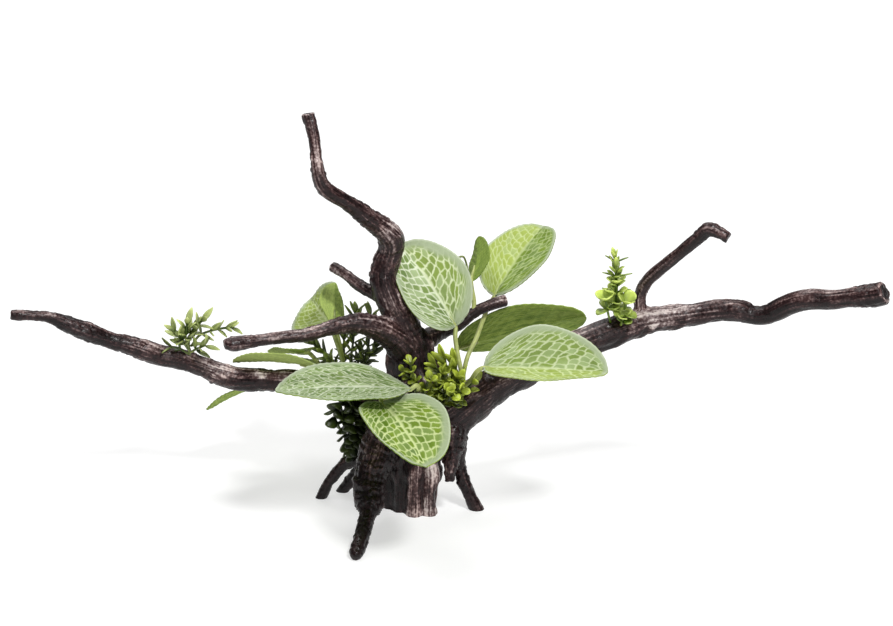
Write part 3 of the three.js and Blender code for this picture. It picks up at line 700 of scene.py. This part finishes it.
def on_blade(leaf, axes, across, share):
    """The point of the blade's middle skin at a place on its grid, and its normal there."""
    forward, sideways, up = axes
    arch = math.radians(leaf["droop"])
    radius = leaf["length"] * MM / arch
    turn = arch * (share - 0.5)
    half = blade_half_width(leaf, share)
    fold = math.radians(leaf["fold"])
    normal = up * math.cos(turn) + forward * math.sin(turn)
    point = Vector(leaf["base"]) * MM
    point += forward * radius * (math.sin(turn) + math.sin(arch / 2))
    point += up * radius * (math.cos(turn) - math.cos(arch / 2))
    point += sideways * across * half * math.cos(fold)
    point += normal * half * abs(across) ** FOLD_CURVE * math.sin(fold)
    return point, normal, half


def blade_relief(leaf, across, share, half):
    """Height in metres of the stamped midrib and side veins and of the edge's slight waves."""
    seed = leaf["net"][0]
    phase = vein_phase(leaf, across, share)
    gap = abs(phase % 1 - 0.5) * 2
    vein = VEIN_DEPTH * max(0, (gap - 0.72) / 0.28)
    vein *= min(1, abs(across) * 6)
    vein *= 1 - abs(across) ** 4
    pillow = PILLOW_HEIGHT * math.cos(2 * math.pi * phase - math.pi)
    midrib = MIDRIB_DEPTH * math.exp(-(across * half / (MIDRIB_WIDTH * MM)) ** 2)
    midrib *= 1 - 0.6 * share
    wave = WAVE_HEIGHT * abs(across) ** 2
    wave *= math.sin(13 * share + 4 * seed + (2 if across > 0 else 0))
    bump = BUMP_HEIGHT * noise.noise(Vector((2 * across, 4 * share, seed)))
    return (vein + pillow + midrib + wave + bump) * MM * min(1, half / (4 * MM))


def margin_depths(leaf, prints, cloth):
    """How far in from its outline each place on the flat blade is: in millimetres, and as a
    share of the width of its margin there, which grows towards the tip."""
    shares = np.linspace(0, 1, 161)
    halves = np.array([blade_half_width(leaf, share) for share in shares]) / MM
    edge = np.column_stack([halves, shares * leaf["length"]])
    flat = np.abs(np.array(cloth)[:, :2])
    squares = ((flat[:, None, :] - edge[None, :, :]) ** 2).sum(2)
    rim = np.sqrt(squares.min(1))
    left, right = leaf["margin"]
    across, share, _ = np.array(prints).T
    width = left + (right - left) * np.clip(0.5 + 2 * across, 0, 1)
    width += np.maximum(0, 2 - width) * np.clip((share - 0.75) / 0.2, 0, 1)
    return rim, rim / width


def fabric_blade(leaf, materials):
    """One blade: a fine grid shaped to the leaf, with its print's coordinates, then thickened."""
    across_steps = 2 * round(leaf["width"] * MM / FABRIC_GRID / 2)
    along_steps = round(leaf["length"] * MM / FABRIC_GRID)
    bm = bmesh.new()
    bmesh.ops.create_grid(bm, x_segments=across_steps, y_segments=along_steps, size=1)
    axes = blade_axes(leaf)
    prints = []
    cloth = []
    for vert in bm.verts:
        across = vert.co.x
        even = (vert.co.y + 1) / 2
        # The rows are closer together near the base and the tip, where the outline turns most.
        share = 0.6 * even + 0.4 * (0.5 - 0.5 * math.cos(math.pi * even))
        point, normal, half = on_blade(leaf, axes, across, share)
        vert.co = point + normal * blade_relief(leaf, across, share, half)
        prints.append((across, share, leaf["net"][0]))
        cloth.append((across * half / MM, share * leaf["length"], 0))
    bmesh.ops.recalc_face_normals(bm, faces=bm.faces)
    bm.normal_update()
    centre = on_blade(leaf, axes, 0, 0.5)[0]
    middle = min(bm.faces, key=lambda face: (face.calc_center_median() - centre).length)
    if middle.normal.dot(axes[2]) < 0:
        bmesh.ops.reverse_faces(bm, faces=bm.faces)
    blade = new_piece("fabric_" + leaf["name"], bm, materials)
    left, right = np.array(leaf["tones"])
    to_right = np.clip(0.5 + 8 * np.array(prints)[:, :1], 0, 1)
    tones = left + (right - left) * to_right
    _, ink, *counts = leaf["net"]
    rim, margin = margin_depths(leaf, prints, cloth)
    attach(blade, print=prints, cloth=cloth, tone=tones, rim=rim, margin=margin)
    attach(blade, ink=[ink] * len(prints), net=[counts] * len(prints))
    wall = blade.modifiers.new("fabric_thickness", "SOLIDIFY")
    wall.thickness = FABRIC_THICKNESS
    wall.offset = 0
    wall.material_offset = 1
    wall.material_offset_rim = 1
    return blade


def plastic_wire(name, stations, pitch, sides, material):
    """A bent round wire in its plastic coat, through stations of place and diameter."""
    route = route_through(stations, pitch)
    bm = bmesh.new()
    sweep(bm, frames_along(route), route[:, 3] / 2, sides)
    bmesh.ops.recalc_face_normals(bm, faces=bm.faces)
    return new_piece(name, bm, [material])


def plastic_stalk(leaf, material):
    """The wired stalk: from its hole in the wood to the base, then tapering under the midrib."""
    axes = blade_axes(leaf)
    under = []
    for step in (1, 0.6, 0.3):
        share = step * STALK_LAP / leaf["length"]
        point, normal, _ = on_blade(leaf, axes, 0, share)
        diameter = STALK_TIP + STALK_TAPER * (1 - step)
        under.append(tuple((point - normal * STALK_DROP * MM) / MM) + (diameter,))
    base = tuple(Vector(leaf["base"]) - axes[2] * DROP_AT_BASE) + (STALK_AT_BASE,)
    lightness, points = leaf["stalk"]
    stations = under + [base] + [point + (STALK_DIAMETER,) for point in points]
    name = "stalk_of_" + leaf["name"]
    stalk = plastic_wire(name, stations, STALK_PITCH, STALK_SIDES, material)
    # Painted light and shade: the stalk's lightness, darkest where it runs in shadow behind the wood.
    attach(stalk, reach=[lightness] * len(stalk.data.vertices))
    return stalk


def woven_height(tree):
    """A plain weave over the fabric, from -1 to 1."""
    cloth = add(tree, "Attribute", attribute_name="cloth")["Vector"]
    thread = 2 * math.pi / THREAD_PITCH
    scaled = add(tree, "VectorMath", [cloth, (thread, thread, 1)], operation="MULTIPLY")[0]
    waves = add(tree, "VectorMath", [scaled], operation="SINE")[0]
    warp, weft, _ = add(tree, "SeparateXYZ", [waves])
    return add(tree, "Math", [warp, weft], operation="MULTIPLY")[0]


def printed_fabric():
    """Polyester fabric with a heat-transfer print: fresh green cells 3 to 4 mm wide in a net of
    pale veins with soft edges, which fades into a silvery margin. Some cells are faded too."""
    material, tree, surface = new_material("printed_polyester_fabric")
    place, tone, counts = [
        add(tree, "Attribute", attribute_name=name)["Vector"] for name in ("print", "tone", "net")
    ]
    ink, rim, depth = [
        add(tree, "Attribute", attribute_name=name)["Fac"] for name in ("ink", "rim", "margin")
    ]
    silver, yellow, shaded = add(tree, "SeparateXYZ", [tone])
    veins, columns, rows = add(tree, "SeparateXYZ", [counts])
    spread = add(tree, "Mapping", {"Vector": place, "Scale": (3.5, 7, 7)})[0]
    wander = add(tree, "TexNoise", {"Vector": spread, "Scale": 1.0, "Detail": 3.0})["Color"]
    shift = add(tree, "VectorMath", [wander, (0.5, 0.5, 0.5)], operation="SUBTRACT")[0]
    bent = add(tree, "VectorMath", [shift, (0.17, 0.09, 0), place], operation="MULTIPLY_ADD")[0]
    across, share, seed = add(tree, "SeparateXYZ", [bent])
    blotch = add(tree, "TexNoise", {"Vector": spread, "Scale": 0.7, "Detail": 4.0})["Fac"]

    # The side veins, as in vein_phase.
    side = add(tree, "Math", [across], operation="ABSOLUTE")[0]
    hand = add(tree, "Math", [across, 0.0], operation="GREATER_THAN")[0]
    bend = add(tree, "Math", [side, VEIN_BEND], operation="POWER")[0]
    run = add(tree, "Math", [bend, VEIN_SWEEP], operation="MULTIPLY")[0]
    past = add(tree, "Math", [share, run], operation="SUBTRACT")[0]
    left = add(tree, "Math", [1.0, run], operation="SUBTRACT")[0]
    root = add(tree, "Math", [past, left], operation="DIVIDE")[0]
    count = add(tree, "Math", [root, veins], operation="MULTIPLY")[0]
    phase = add(tree, "Math", [hand, 0.5, count], operation="MULTIPLY_ADD")[0]
    from_vein = add(tree, "Math", [phase, 0.5], operation="PINGPONG")[0]
    near_vein = add(tree, "MapRange", [from_vein, 0.1, 0.34, 1.0, 0.0], **SOFT_EDGE)[0]

    # The cells, in columns from one side vein to the next and rows from the midrib outwards.
    # Each half of each leaf has its own.
    lead = (CELL_JITTER - 1) / 2
    aligned = add(tree, "Math", [phase, columns, lead], operation="MULTIPLY_ADD")[0]
    seeded = add(tree, "Math", [seed, 17.0], operation="MULTIPLY")[0]
    handed = add(tree, "Math", [hand, 31.0, seeded], operation="MULTIPLY_ADD")[0]
    own = add(tree, "Math", [handed], operation="FLOOR")[0]
    column = add(tree, "Math", [aligned, own], operation="ADD")[0]
    row = add(tree, "Math", [side, rows], operation="MULTIPLY")[0]
    grid = {
        "Vector": add(tree, "CombineXYZ", [column, row])[0],
        "Scale": 1.0,
        "Randomness": CELL_JITTER,
    }
    walls = add(tree, "TexVoronoi", grid, feature="DISTANCE_TO_EDGE", voronoi_dimensions="2D")
    from_cell = walls["Distance"]
    dice = add(tree, "TexVoronoi", grid, feature="F1", voronoi_dimensions="2D")["Color"]
    chance, other_chance, _ = add(tree, "SeparateXYZ", [dice])

    # The net: the cells' walls, broader along the side veins, and the midrib, which tapers.
    thin = add(tree, "MapRange", [from_cell, 0.01, 0.13, 0.85, 0.0], **SOFT_EDGE)[0]
    broad = add(tree, "MapRange", [from_cell, 0.05, 0.2, 1.0, 0.0], **SOFT_EDGE)[0]
    by_vein = add(tree, "Math", [broad, near_vein], operation="MULTIPLY")[0]
    rib_width = add(tree, "Math", [share, -0.06, 0.085], operation="MULTIPLY_ADD")[0]
    from_rib = add(tree, "Math", [side, rib_width], operation="DIVIDE")[0]
    rib = add(tree, "MapRange", [from_rib, 0.3, 1.4, 1.0, 0.0], **SOFT_EDGE)[0]
    veined = add(tree, "Math", [by_vein, thin], operation="MAXIMUM")[0]
    whole = add(tree, "Math", [veined, rib], operation="MAXIMUM")[0]
    net = add(tree, "Math", [whole, ink], operation="MULTIPLY")[0]

    # The margin has a ragged inner edge, and the net is faint on it. Veins have a soft glow.
    inside = add(tree, "Math", [depth, 0.7], operation="SUBTRACT")[0]
    ragged = add(tree, "Math", [blotch, 1.4, inside], operation="MULTIPLY_ADD")[0]
    margin = add(tree, "MapRange", [ragged, 0.4, 1.3, 1.0, 0.0], **SOFT_EDGE)[0]
    printed = add(tree, "Math", [margin, -0.6, 1.0], operation="MULTIPLY_ADD")[0]
    shown = add(tree, "Math", [net, printed], operation="MULTIPLY")[0]
    halo = add(tree, "MapRange", [from_cell, 0.04, 0.26, 0.7, 0.0], **SOFT_EDGE)[0]
    glow = add(tree, "Math", [halo, ink], operation="MULTIPLY")[0]
    luck = add(tree, "Math", [blotch, 0.9, chance], operation="MULTIPLY_ADD")[0]
    unlucky = add(tree, "MapRange", [luck, 0.85, 1.4], **SOFT_EDGE)[0]
    fading = add(tree, "Math", [silver, 0.6, 0.2], operation="MULTIPLY_ADD")[0]
    faded = add(tree, "Math", [unlucky, fading], operation="MULTIPLY")[0]
    light = add(tree, "MapRange", [blotch, 0.35, 0.65], **SOFT_EDGE)[0]
    # Painted highlight: a pale line just inside the cut edge, where the edge catches the light.
    painted_edge_highlight = add(tree, "MapRange", [rim, 0.2, 1.0, 0.6, 0.0], **SOFT_EDGE)[0]
    vein_colour = layered(tree, "#d3dfa0", [(silver, 1.0, "#dde3cf")])
    colour = layered(tree, "#44630a", [
        (light, 1.0, "#67851f"),
        (other_chance, 0.45, "#8fa636"),
        (yellow, 0.85, "#abba5a"),
        (silver, 0.55, "#7d916a"),
        (faded, 1.0, "#aebf93"),
        (glow, 0.5, "#a2b672"),
        (shown, 0.88, vein_colour),
        (margin, 0.85, "#a9b596"),
        (painted_edge_highlight, 1.0, "#c8d1b8"),
        (shaded, 0.6, "#4a631c"),
    ])
    height = add(tree, "Math", [woven_height(tree), 0.2, shown], operation="MULTIPLY_ADD")[0]
    fill(surface, {
        "Base Color": colour,
        "Normal": add(tree, "Bump", {"Height": height, "Strength": 0.4, "Distance": 0.2 * MM})[0],
        "Roughness": 0.7,
        "Specular IOR Level": 0.16,
        "Sheen Weight": 0.03,
    })
    return material


def plain_fabric():
    """The unprinted underside of the same fabric, dyed green through, with its weave showing."""
    material, tree, surface = new_material("dyed_fabric_underside")
    place, tone = [
        add(tree, "Attribute", attribute_name=name)["Vector"] for name in ("print", "tone")
    ]
    _, yellow, shaded = add(tree, "SeparateXYZ", [tone])
    spread = add(tree, "Mapping", {"Vector": place, "Scale": (9, 16, 7)})[0]
    cloud = add(tree, "TexNoise", {
        "Vector": spread, "Scale": 1.0, "Detail": 5.0, "Roughness": 0.7,
    })["Fac"]
    lengthwise = add(tree, "Mapping", {"Vector": place, "Scale": (22, 2.5, 7)})[0]
    streaks = add(tree, "TexNoise", {"Vector": lengthwise, "Scale": 1.0, "Detail": 2.0})["Fac"]
    uneven = add(tree, "Math", [cloud, streaks], operation="ADD")[0]
    varied = add(tree, "MapRange", [uneven, 0.85, 1.15])[0]
    threads = woven_height(tree)
    # Painted light and shade on the weave: thread tops painted lighter than the dips between them.
    painted_thread_light = add(tree, "MapRange", [threads, -1.0, 1.0, 0.0, 0.35])[0]
    fill(surface, {
        "Base Color": layered(tree, "#557314", [
            (varied, 1.0, "#93a945"),
            (shaded, 1.0, "#4b6012"),
            (yellow, 0.6, "#c0cc80"),
            (painted_thread_light, 1.0, "#a3b46e"),
        ]),
        "Normal": add(tree, "Bump", {"Height": threads, "Strength": 0.4, "Distance": 0.2 * MM})[0],
        "Roughness": 0.8,
        "Specular IOR Level": 0.16,
        "Sheen Weight": 0.03,
    })
    return material


def green_plastic(name, dark, light, roughness):
    """Injection-moulded soft polyethylene: waxy and a little mottled. Painted light and shade
    darken a leaflet at its foot, shoots deep in a tuft and stalks in shadow, and lighten the thin
    tips, from 0 to 1 in the painted light attribute."""
    material, tree, surface = new_material(name)
    place = add(tree, "TexCoord")["Object"]
    mottle = add(tree, "TexNoise", {"Vector": place, "Scale": 260.0, "Detail": 3.0})["Fac"]
    reach = add(tree, "Attribute", attribute_name="reach")["Fac"]
    both = add(tree, "Math", [mottle, 1.4, reach], operation="MULTIPLY_ADD")[0]
    lightness = add(tree, "MapRange", [both, 0.6, 1.7])[0]
    fill(surface, {
        "Base Color": layered(tree, dark, [(lightness, 1.0, light)]),
        "Normal": add(tree, "Bump", {"Height": mottle, "Strength": 0.25, "Distance": 0.3 * MM})[0],
        "Roughness": roughness,
        "IOR": 1.51,
    })
    return material


leaf_materials = [printed_fabric(), plain_fabric()]
stalk_plastic = green_plastic("stalk_polyethylene", "#59661f", "#bcc47a", 0.45)
for leaf in LEAVES:
    blade = fabric_blade(leaf, leaf_materials)
    stalk = plastic_stalk(leaf, stalk_plastic)
    for piece, slot in ((blade, "leaf_fabric"), (stalk, "sprig_plastic")):
        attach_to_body(piece, "root")
        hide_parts(leaf["name"])


# The tendril: the thin curled end of the wire in the stalk of the leaf behind the top one.
# Its points and its diameter are in millimetres.
TENDRIL = [
    (26.4, 14, 97), (25, 13.2, 103), (24, 12.4, 108.6), (22.6, 12, 111.7), (20.6, 11.8, 111.3),
    (19.8, 11.6, 109.3), (21, 11.4, 107.8), (23, 11.2, 108.4),
]
TENDRIL_DIAMETER = 0.9

stations = [place + (TENDRIL_DIAMETER,) for place in TENDRIL]
tendril = plastic_wire("tendril", stations, 0.5 * MM, 8, stalk_plastic)
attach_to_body(tendril, "root")
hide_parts("leaf_behind_top")


# The sprigs: injection-moulded shoots of soft plastic, each with whorls of cupped leaflets,
# pushed into small holes in the wood in tufts. A shoot is a row of points in millimetres from
# its hole to its tip, then its number of whorls, leaflets in a whorl, where the whorls start
# along it, the length, width and spread in degrees of its first and last leaflets, the
# leaflets' outline (how far out they are broadest, and how pointed they are), and how light it
# is painted, 0 to 1, as painted light and shade: shoots deep in a tuft or in shadow are darker.
SPOON = (1.5, 0.55)
TONGUE = (1.15, 0.75)
LANCE = (0.85, 0.95)
SPRIGS = [
    dict(name="sprig_left_arm", plastic=("#3c5010", "#dae790"), shoots=[
        ([(-98, 17, 60), (-98.5, 15, 69), (-97, 14, 76), (-91.5, 12, 82.5)],
         6, 2, 0.35, (7.5, 3.2, 66), (7, 2.6, 30), LANCE, 1),
        ([(-97.5, 15, 69), (-93, 13, 75), (-84, 10, 79), (-78, 8, 80.5)],
         5, 2, 0.35, (6, 2.2, 62), (6, 2.2, 35), LANCE, 0.9),
        ([(-98, 15.5, 66), (-101, 13, 72), (-104, 12, 77)],
         4, 2, 0.35, (7, 3.2, 62), (7, 3, 30), LANCE, 1),
        ([(-98, 15, 66), (-94, 11, 69.5), (-90.5, 8, 72)],
         3, 2, 0.4, (7, 2.6, 60), (7, 2.4, 35), LANCE, 0.8),
        ([(-98, 15, 67), (-99.5, 13, 74), (-98.5, 12, 80.5)],
         4, 2, 0.4, (7.5, 3, 60), (7, 2.8, 32), LANCE, 1),
        ([(-98, 16, 64), (-103, 15, 68), (-106, 14, 69)],
         2, 2, 0.6, (6, 2.2, 50), (6, 2, 40), LANCE, 0.2),
    ]),
    dict(name="sprig_right_arm", plastic=("#4f6a10", "#d4e673"), shoots=[
        ([(89, 6, 79), (89.5, 4.5, 88), (89, 3.5, 96), (88.8, 3, 102)],
         4, 3, 0.45, (6.8, 6.2, 70), (6, 4.8, 50), SPOON, 1.1),
        ([(90, 5, 80), (92, 2, 89), (93, 0.5, 94)],
         2, 3, 0.7, (5.6, 5.4, 70), (6, 5.8, 50), SPOON, 1.1),
        ([(88, 5, 80), (85.6, 2, 89), (84.4, 0.5, 95.5)],
         2, 3, 0.7, (5.6, 5.4, 70), (6.6, 6.4, 45), SPOON, 1.1),
        ([(90, 4, 80), (91.5, 1, 85), (92, -0.5, 88)],
         2, 2, 0.8, (4.6, 4.6, 60), (5, 5, 50), SPOON, 0.9),
        ([(89, 3.5, 97), (88.5, 2, 107), (88, 1, 114.5)],
         5, 3, 0.25, (5.2, 2.8, 55), (5.6, 2, 16), TONGUE, 0.9),
        ([(89, 5, 88), (89, 4.5, 101), (88.8, 4, 112)],
         5, 2, 0.4, (7.4, 1.3, 78), (5, 1.2, 58), LANCE, 0.15),
    ]),
    dict(name="sprig_centre", plastic=("#2a3804", "#b9ca40"), shoots=[
        ([(8, -6, 52), (3, -13, 62), (0.5, -15, 68), (0, -15.5, 73)],
         3, 3, 0.6, (3.8, 2.8, 62), (4.4, 2.6, 38), SPOON, 1),
        ([(4, -11, 60), (-1, -14, 66), (-2.5, -14.5, 67.5)],
         2, 2, 0.7, (3.6, 2.6, 55), (4, 2.8, 45), SPOON, 0.9),
        ([(9, -7, 50), (6, -16, 60), (7.5, -18, 65.5)],
         3, 3, 0.55, (4, 3.4, 62), (4.2, 3.6, 42), SPOON, 1),
        ([(13, -6, 48), (15, -12, 60), (13.5, -13, 66), (10.5, -13, 70)],
         4, 2, 0.45, (4.6, 3, 60), (9, 3.2, 24), TONGUE, 1),
        ([(14, -5, 48), (18, -12, 60), (17.5, -13, 67), (14.5, -13, 72)],
         4, 2, 0.45, (4.6, 3, 60), (10, 3.6, 22), TONGUE, 1),
        ([(15, -5, 48), (20, -12, 58), (21, -12, 64), (19.5, -12, 69)],
         4, 2, 0.45, (5, 3, 60), (9, 3.2, 24), TONGUE, 1),
        ([(15, -4, 47), (22, -13, 57), (24.5, -15, 61), (26.5, -16, 63.5)],
         4, 2, 0.45, (4.6, 3.2, 62), (6.5, 3.2, 34), TONGUE, 1),
        ([(16, -5, 50), (19, -14, 60), (20.5, -15, 65)],
         4, 3, 0.5, (4.4, 3.2, 62), (5, 3.4, 40), TONGUE, 0.9),
        ([(12, -6, 50), (14.5, -16, 57.5), (16, -19, 61.5)],
         2, 3, 0.7, (4.2, 3.8, 65), (4, 3.8, 48), SPOON, 0.9),
        ([(14, -6, 52), (19.5, -16, 59.5), (21.5, -18.5, 61.5)],
         3, 2, 0.6, (4.2, 3.6, 65), (4.4, 4, 45), SPOON, 0.9),
        ([(13, -6, 50), (16, -17, 56), (17.4, -19.5, 59)],
         1, 2, 0.7, (4.6, 4.4, 60), (5, 4.8, 50), SPOON, 1),
        ([(12, -6, 52), (12, -15, 60), (11, -17, 65)],
         4, 3, 0.35, (4.4, 3.6, 62), (4.2, 3.6, 40), SPOON, 0.6),
        ([(12, -6, 52), (14, -14, 62), (14.5, -15, 67)],
         4, 3, 0.35, (4.4, 3.6, 62), (4.4, 3.6, 40), SPOON, 0.5),
        ([(10, -6, 48), (10, -12, 57), (10, -14, 61)],
         4, 3, 0.3, (4.8, 4, 65), (4.6, 3.8, 50), SPOON, 0.1),
        ([(16, -5, 48), (19, -11, 56), (20, -12, 61)],
         4, 3, 0.3, (4.8, 4, 65), (4.6, 3.8, 50), SPOON, 0.1),
        ([(6, -8, 47), (3, -13, 55), (2, -14, 60)],
         3, 3, 0.4, (4.6, 3.8, 65), (4.4, 3.6, 50), SPOON, 0.1),
    ]),
    dict(name="sprig_rear_left", plastic=("#2c390c", "#7f9236"), shoots=[
        ([(-29, 13, 50), (-26, 16, 70), (-24.5, 17, 84.5)],
         7, 3, 0.35, (5.5, 2, 62), (7.5, 2.6, 36), LANCE, 1),
        ([(-28, 12, 52), (-20, 15, 66), (-18, 16, 83.5)],
         7, 3, 0.35, (5.5, 2, 62), (7, 2.6, 36), LANCE, 1),
        ([(-30, 13, 52), (-36, 18, 62), (-43, 20, 68)],
         6, 3, 0.3, (6, 2.4, 62), (7, 2.4, 30), LANCE, 0.9),
        ([(-29, 12, 53), (-22, 14, 60), (-15, 13, 70)],
         6, 3, 0.3, (6, 1.8, 62), (6.5, 2, 30), LANCE, 0.2),
        ([(-29, 12.5, 53), (-30, 17, 62), (-30, 18, 71)],
         5, 3, 0.3, (6.5, 2.4, 62), (7, 2.4, 30), LANCE, 0.8),
        ([(-29, 13, 51), (-33, 14, 57), (-36.5, 14, 62)],
         5, 3, 0.3, (6.5, 2.6, 62), (6.5, 2.6, 34), LANCE, 0.5),
        ([(-27, 12, 53), (-24, 16, 60), (-23, 17, 66)],
         5, 3, 0.3, (6, 2, 62), (6.5, 2, 34), LANCE, 0.1),
    ]),
    dict(name="sprig_under_left_arm", plastic=("#12190a", "#4c5c20"), shoots=[
        ([(-25, 10, 51), (-29, 7, 42), (-29.5, 5, 35), (-28.5, 4, 24)],
         7, 3, 0.25, (6.5, 5, 65), (6, 4.4, 40), SPOON, 0.8),
        ([(-23, 9, 50), (-23, 6, 40), (-23, 6, 28)],
         7, 3, 0.25, (6.5, 5, 65), (6, 4.6, 40), SPOON, 0.5),
        ([(-26, 10, 50), (-32, 5, 45), (-34, 3, 40)],
         4, 3, 0.3, (6.5, 5.4, 65), (6, 5, 40), SPOON, 1),
        ([(-25, 10, 50), (-26, 4, 45), (-27, 2, 38)],
         4, 3, 0.3, (6.5, 5.2, 65), (6, 4.8, 40), SPOON, 0.9),
        ([(-22, 9, 50), (-19, 5, 43), (-18, 5, 34)],
         6, 3, 0.25, (6.5, 5, 65), (6, 4.6, 40), SPOON, 0.3),
        ([(-26, 9, 48), (-26, 4, 36), (-26, 4, 22)],
         6, 3, 0.35, (6, 4.6, 65), (5.5, 4, 40), SPOON, 0.2),
    ]),
]
SHOOT_RADIUS = 0.55 * MM
SHOOT_SIDES = 8
LEAFLET_THICKNESS = 0.5 * MM
LEAFLET_CUP = 0.35  # how far its sides are lifted, as a share of half its width
LEAFLET_END = 0.1  # the share of its width that is left at its base and tip
LAST_WHORL = 0.98


def leaflet(bm, base, along, face, size, outline, curl, lightness):
    """One cupped leaflet that starts at base, runs along and is hollow towards face."""
    length, width = size
    lean, pointed = outline
    reach = bm.verts.layers.float["reach"]
    sideways = face.cross(along).normalized()
    normal = along.cross(sideways)
    made = bmesh.ops.create_grid(bm, x_segments=4, y_segments=6, size=1)
    for vert in made["verts"]:
        across = vert.co.x
        share = (vert.co.y + 1) / 2
        profile = math.sin(math.pi * (0.04 + 0.93 * share ** lean)) ** pointed
        half = max(LEAFLET_END, profile) * width / 2
        lift = LEAFLET_CUP * half * across ** 2 + curl * length * share ** 2
        vert.co = base + along * share * length + sideways * across * half + normal * lift
        # Painted light and shade: each leaflet is painted darker at its foot and lighter at its tip.
        vert[reach] = share * lightness


def leafy_shoot(leaves, stems, shoot, draw):
    """One shoot: a thin stem and its whorls of leaflets, each whorl turned from the last."""
    points, whorls, count, start, low, high, outline, lightness = shoot
    route = route_through([point + (2 * SHOOT_RADIUS / MM,) for point in points], 1 * MM)
    frames = frames_along(route)
    sweep(stems, frames, route[:, 3] / 2, SHOOT_SIDES)
    for whorl in range(whorls):
        height = whorl / (whorls - 1) if whorls > 1 else 1
        share = start + (LAST_WHORL - start) * height
        place = frames[round(share * (len(frames) - 1))]
        tangent = place.col[2].to_3d()
        length, width, spread = [a + (b - a) * height for a, b in zip(low, high)]
        for k in range(count):
            turn = 2 * math.pi * k / count + whorl * math.pi / count + draw.uniform(-0.25, 0.25)
            tilt = math.radians(spread + draw.uniform(-9, 9))
            outward = place.col[0].to_3d() * math.cos(turn) + place.col[1].to_3d() * math.sin(turn)
            along = tangent * math.cos(tilt) + outward * math.sin(tilt)
            size = (length * MM * draw.uniform(0.8, 1.1), width * MM * draw.uniform(0.85, 1.1))
            base = place.col[3].to_3d() + outward * SHOOT_RADIUS * 0.6
            # Painted shade: lower whorls and shoots with a low lightness are painted darker, as deep in
            # a tuft or in shadow.
            shade = lightness * (0.4 + 0.6 * height) * draw.uniform(0.65, 1.1)
            leaflet(leaves, base, along, tangent, size, outline, draw.uniform(-0.12, 0.12), shade)


def plastic_sprig(sprig, seed):
    """The leaflets and the stems of one sprig, as two pieces of the same plastic."""
    draw = random.Random(seed)
    leaves = bmesh.new()
    leaves.verts.layers.float.new("reach")
    stems = bmesh.new()
    for shoot in sprig["shoots"]:
        leafy_shoot(leaves, stems, shoot, draw)
    bmesh.ops.recalc_face_normals(stems, faces=stems.faces)
    plastic = green_plastic(sprig["name"] + "_polyethylene", *sprig["plastic"], 0.38)
    foliage = new_piece("leaflets_of_" + sprig["name"], leaves, [plastic])
    wall = foliage.modifiers.new("leaflet_thickness", "SOLIDIFY")
    wall.thickness = LEAFLET_THICKNESS
    wall.offset = 0
    stem = new_piece("stems_of_" + sprig["name"], stems, [plastic])
    return foliage, stem


for seed, sprig in enumerate(SPRIGS):
    for piece in plastic_sprig(sprig, seed):
        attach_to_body(piece, "root")
        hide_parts(sprig["name"])


# The floor and the light: an opal sheet lit from below, a small hard box above the front
# right, a larger one above the left, a weak one in front, one over the far background, and a
# dim white surround.
def opal_sheet():
    """Matt opal acrylic, lit from below as on a product table, so that shadows stay light."""
    material, _, surface = new_material("opal_acrylic_sheet")
    fill(surface, {
        "Base Color": "#bcbcbc",
        "Roughness": 0.9,
        "Specular IOR Level": 0.1,
        "Emission Color": "#ffffff",
        "Emission Strength": 0.56,
    })
    return material


def soft_box(name, place, target, size, power):
    light = bpy.data.lights.new(name, "AREA")
    light.shape = "SQUARE"
    light.size = size
    light.energy = power
    box = bpy.data.objects.new(name, light)
    box.location = place
    box.rotation_euler = (Vector(target) - Vector(place)).to_track_quat("-Z", "Y").to_euler()
    scene.collection.objects.link(box)


board = bmesh.new()
bmesh.ops.create_grid(board, x_segments=1, y_segments=1, size=4)
floor = new_piece("floor", board, [opal_sheet()], smooth=False)
soft_box("key_box", (0.42, -0.75, 1.25), (0, 0, 0.08), 0.22, 15)
soft_box("top_box", (-0.4, 0.2, 1.4), (0, 0, 0.08), 0.5, 8)
soft_box("front_box", (0.3, -1.2, 0.55), (0, 0, 0.08), 0.5, 2.5)
soft_box("background_box", (0, 1.5, 1.6), (0, 2.2, 0), 1.5, 27)
world = bpy.data.worlds.new("studio")
world.use_nodes = True
fill(world.node_tree.nodes["Background"], {"Color": "#ffffff", "Strength": 0.15})
scene.world = world
scene.view_settings.view_transform = "Standard"
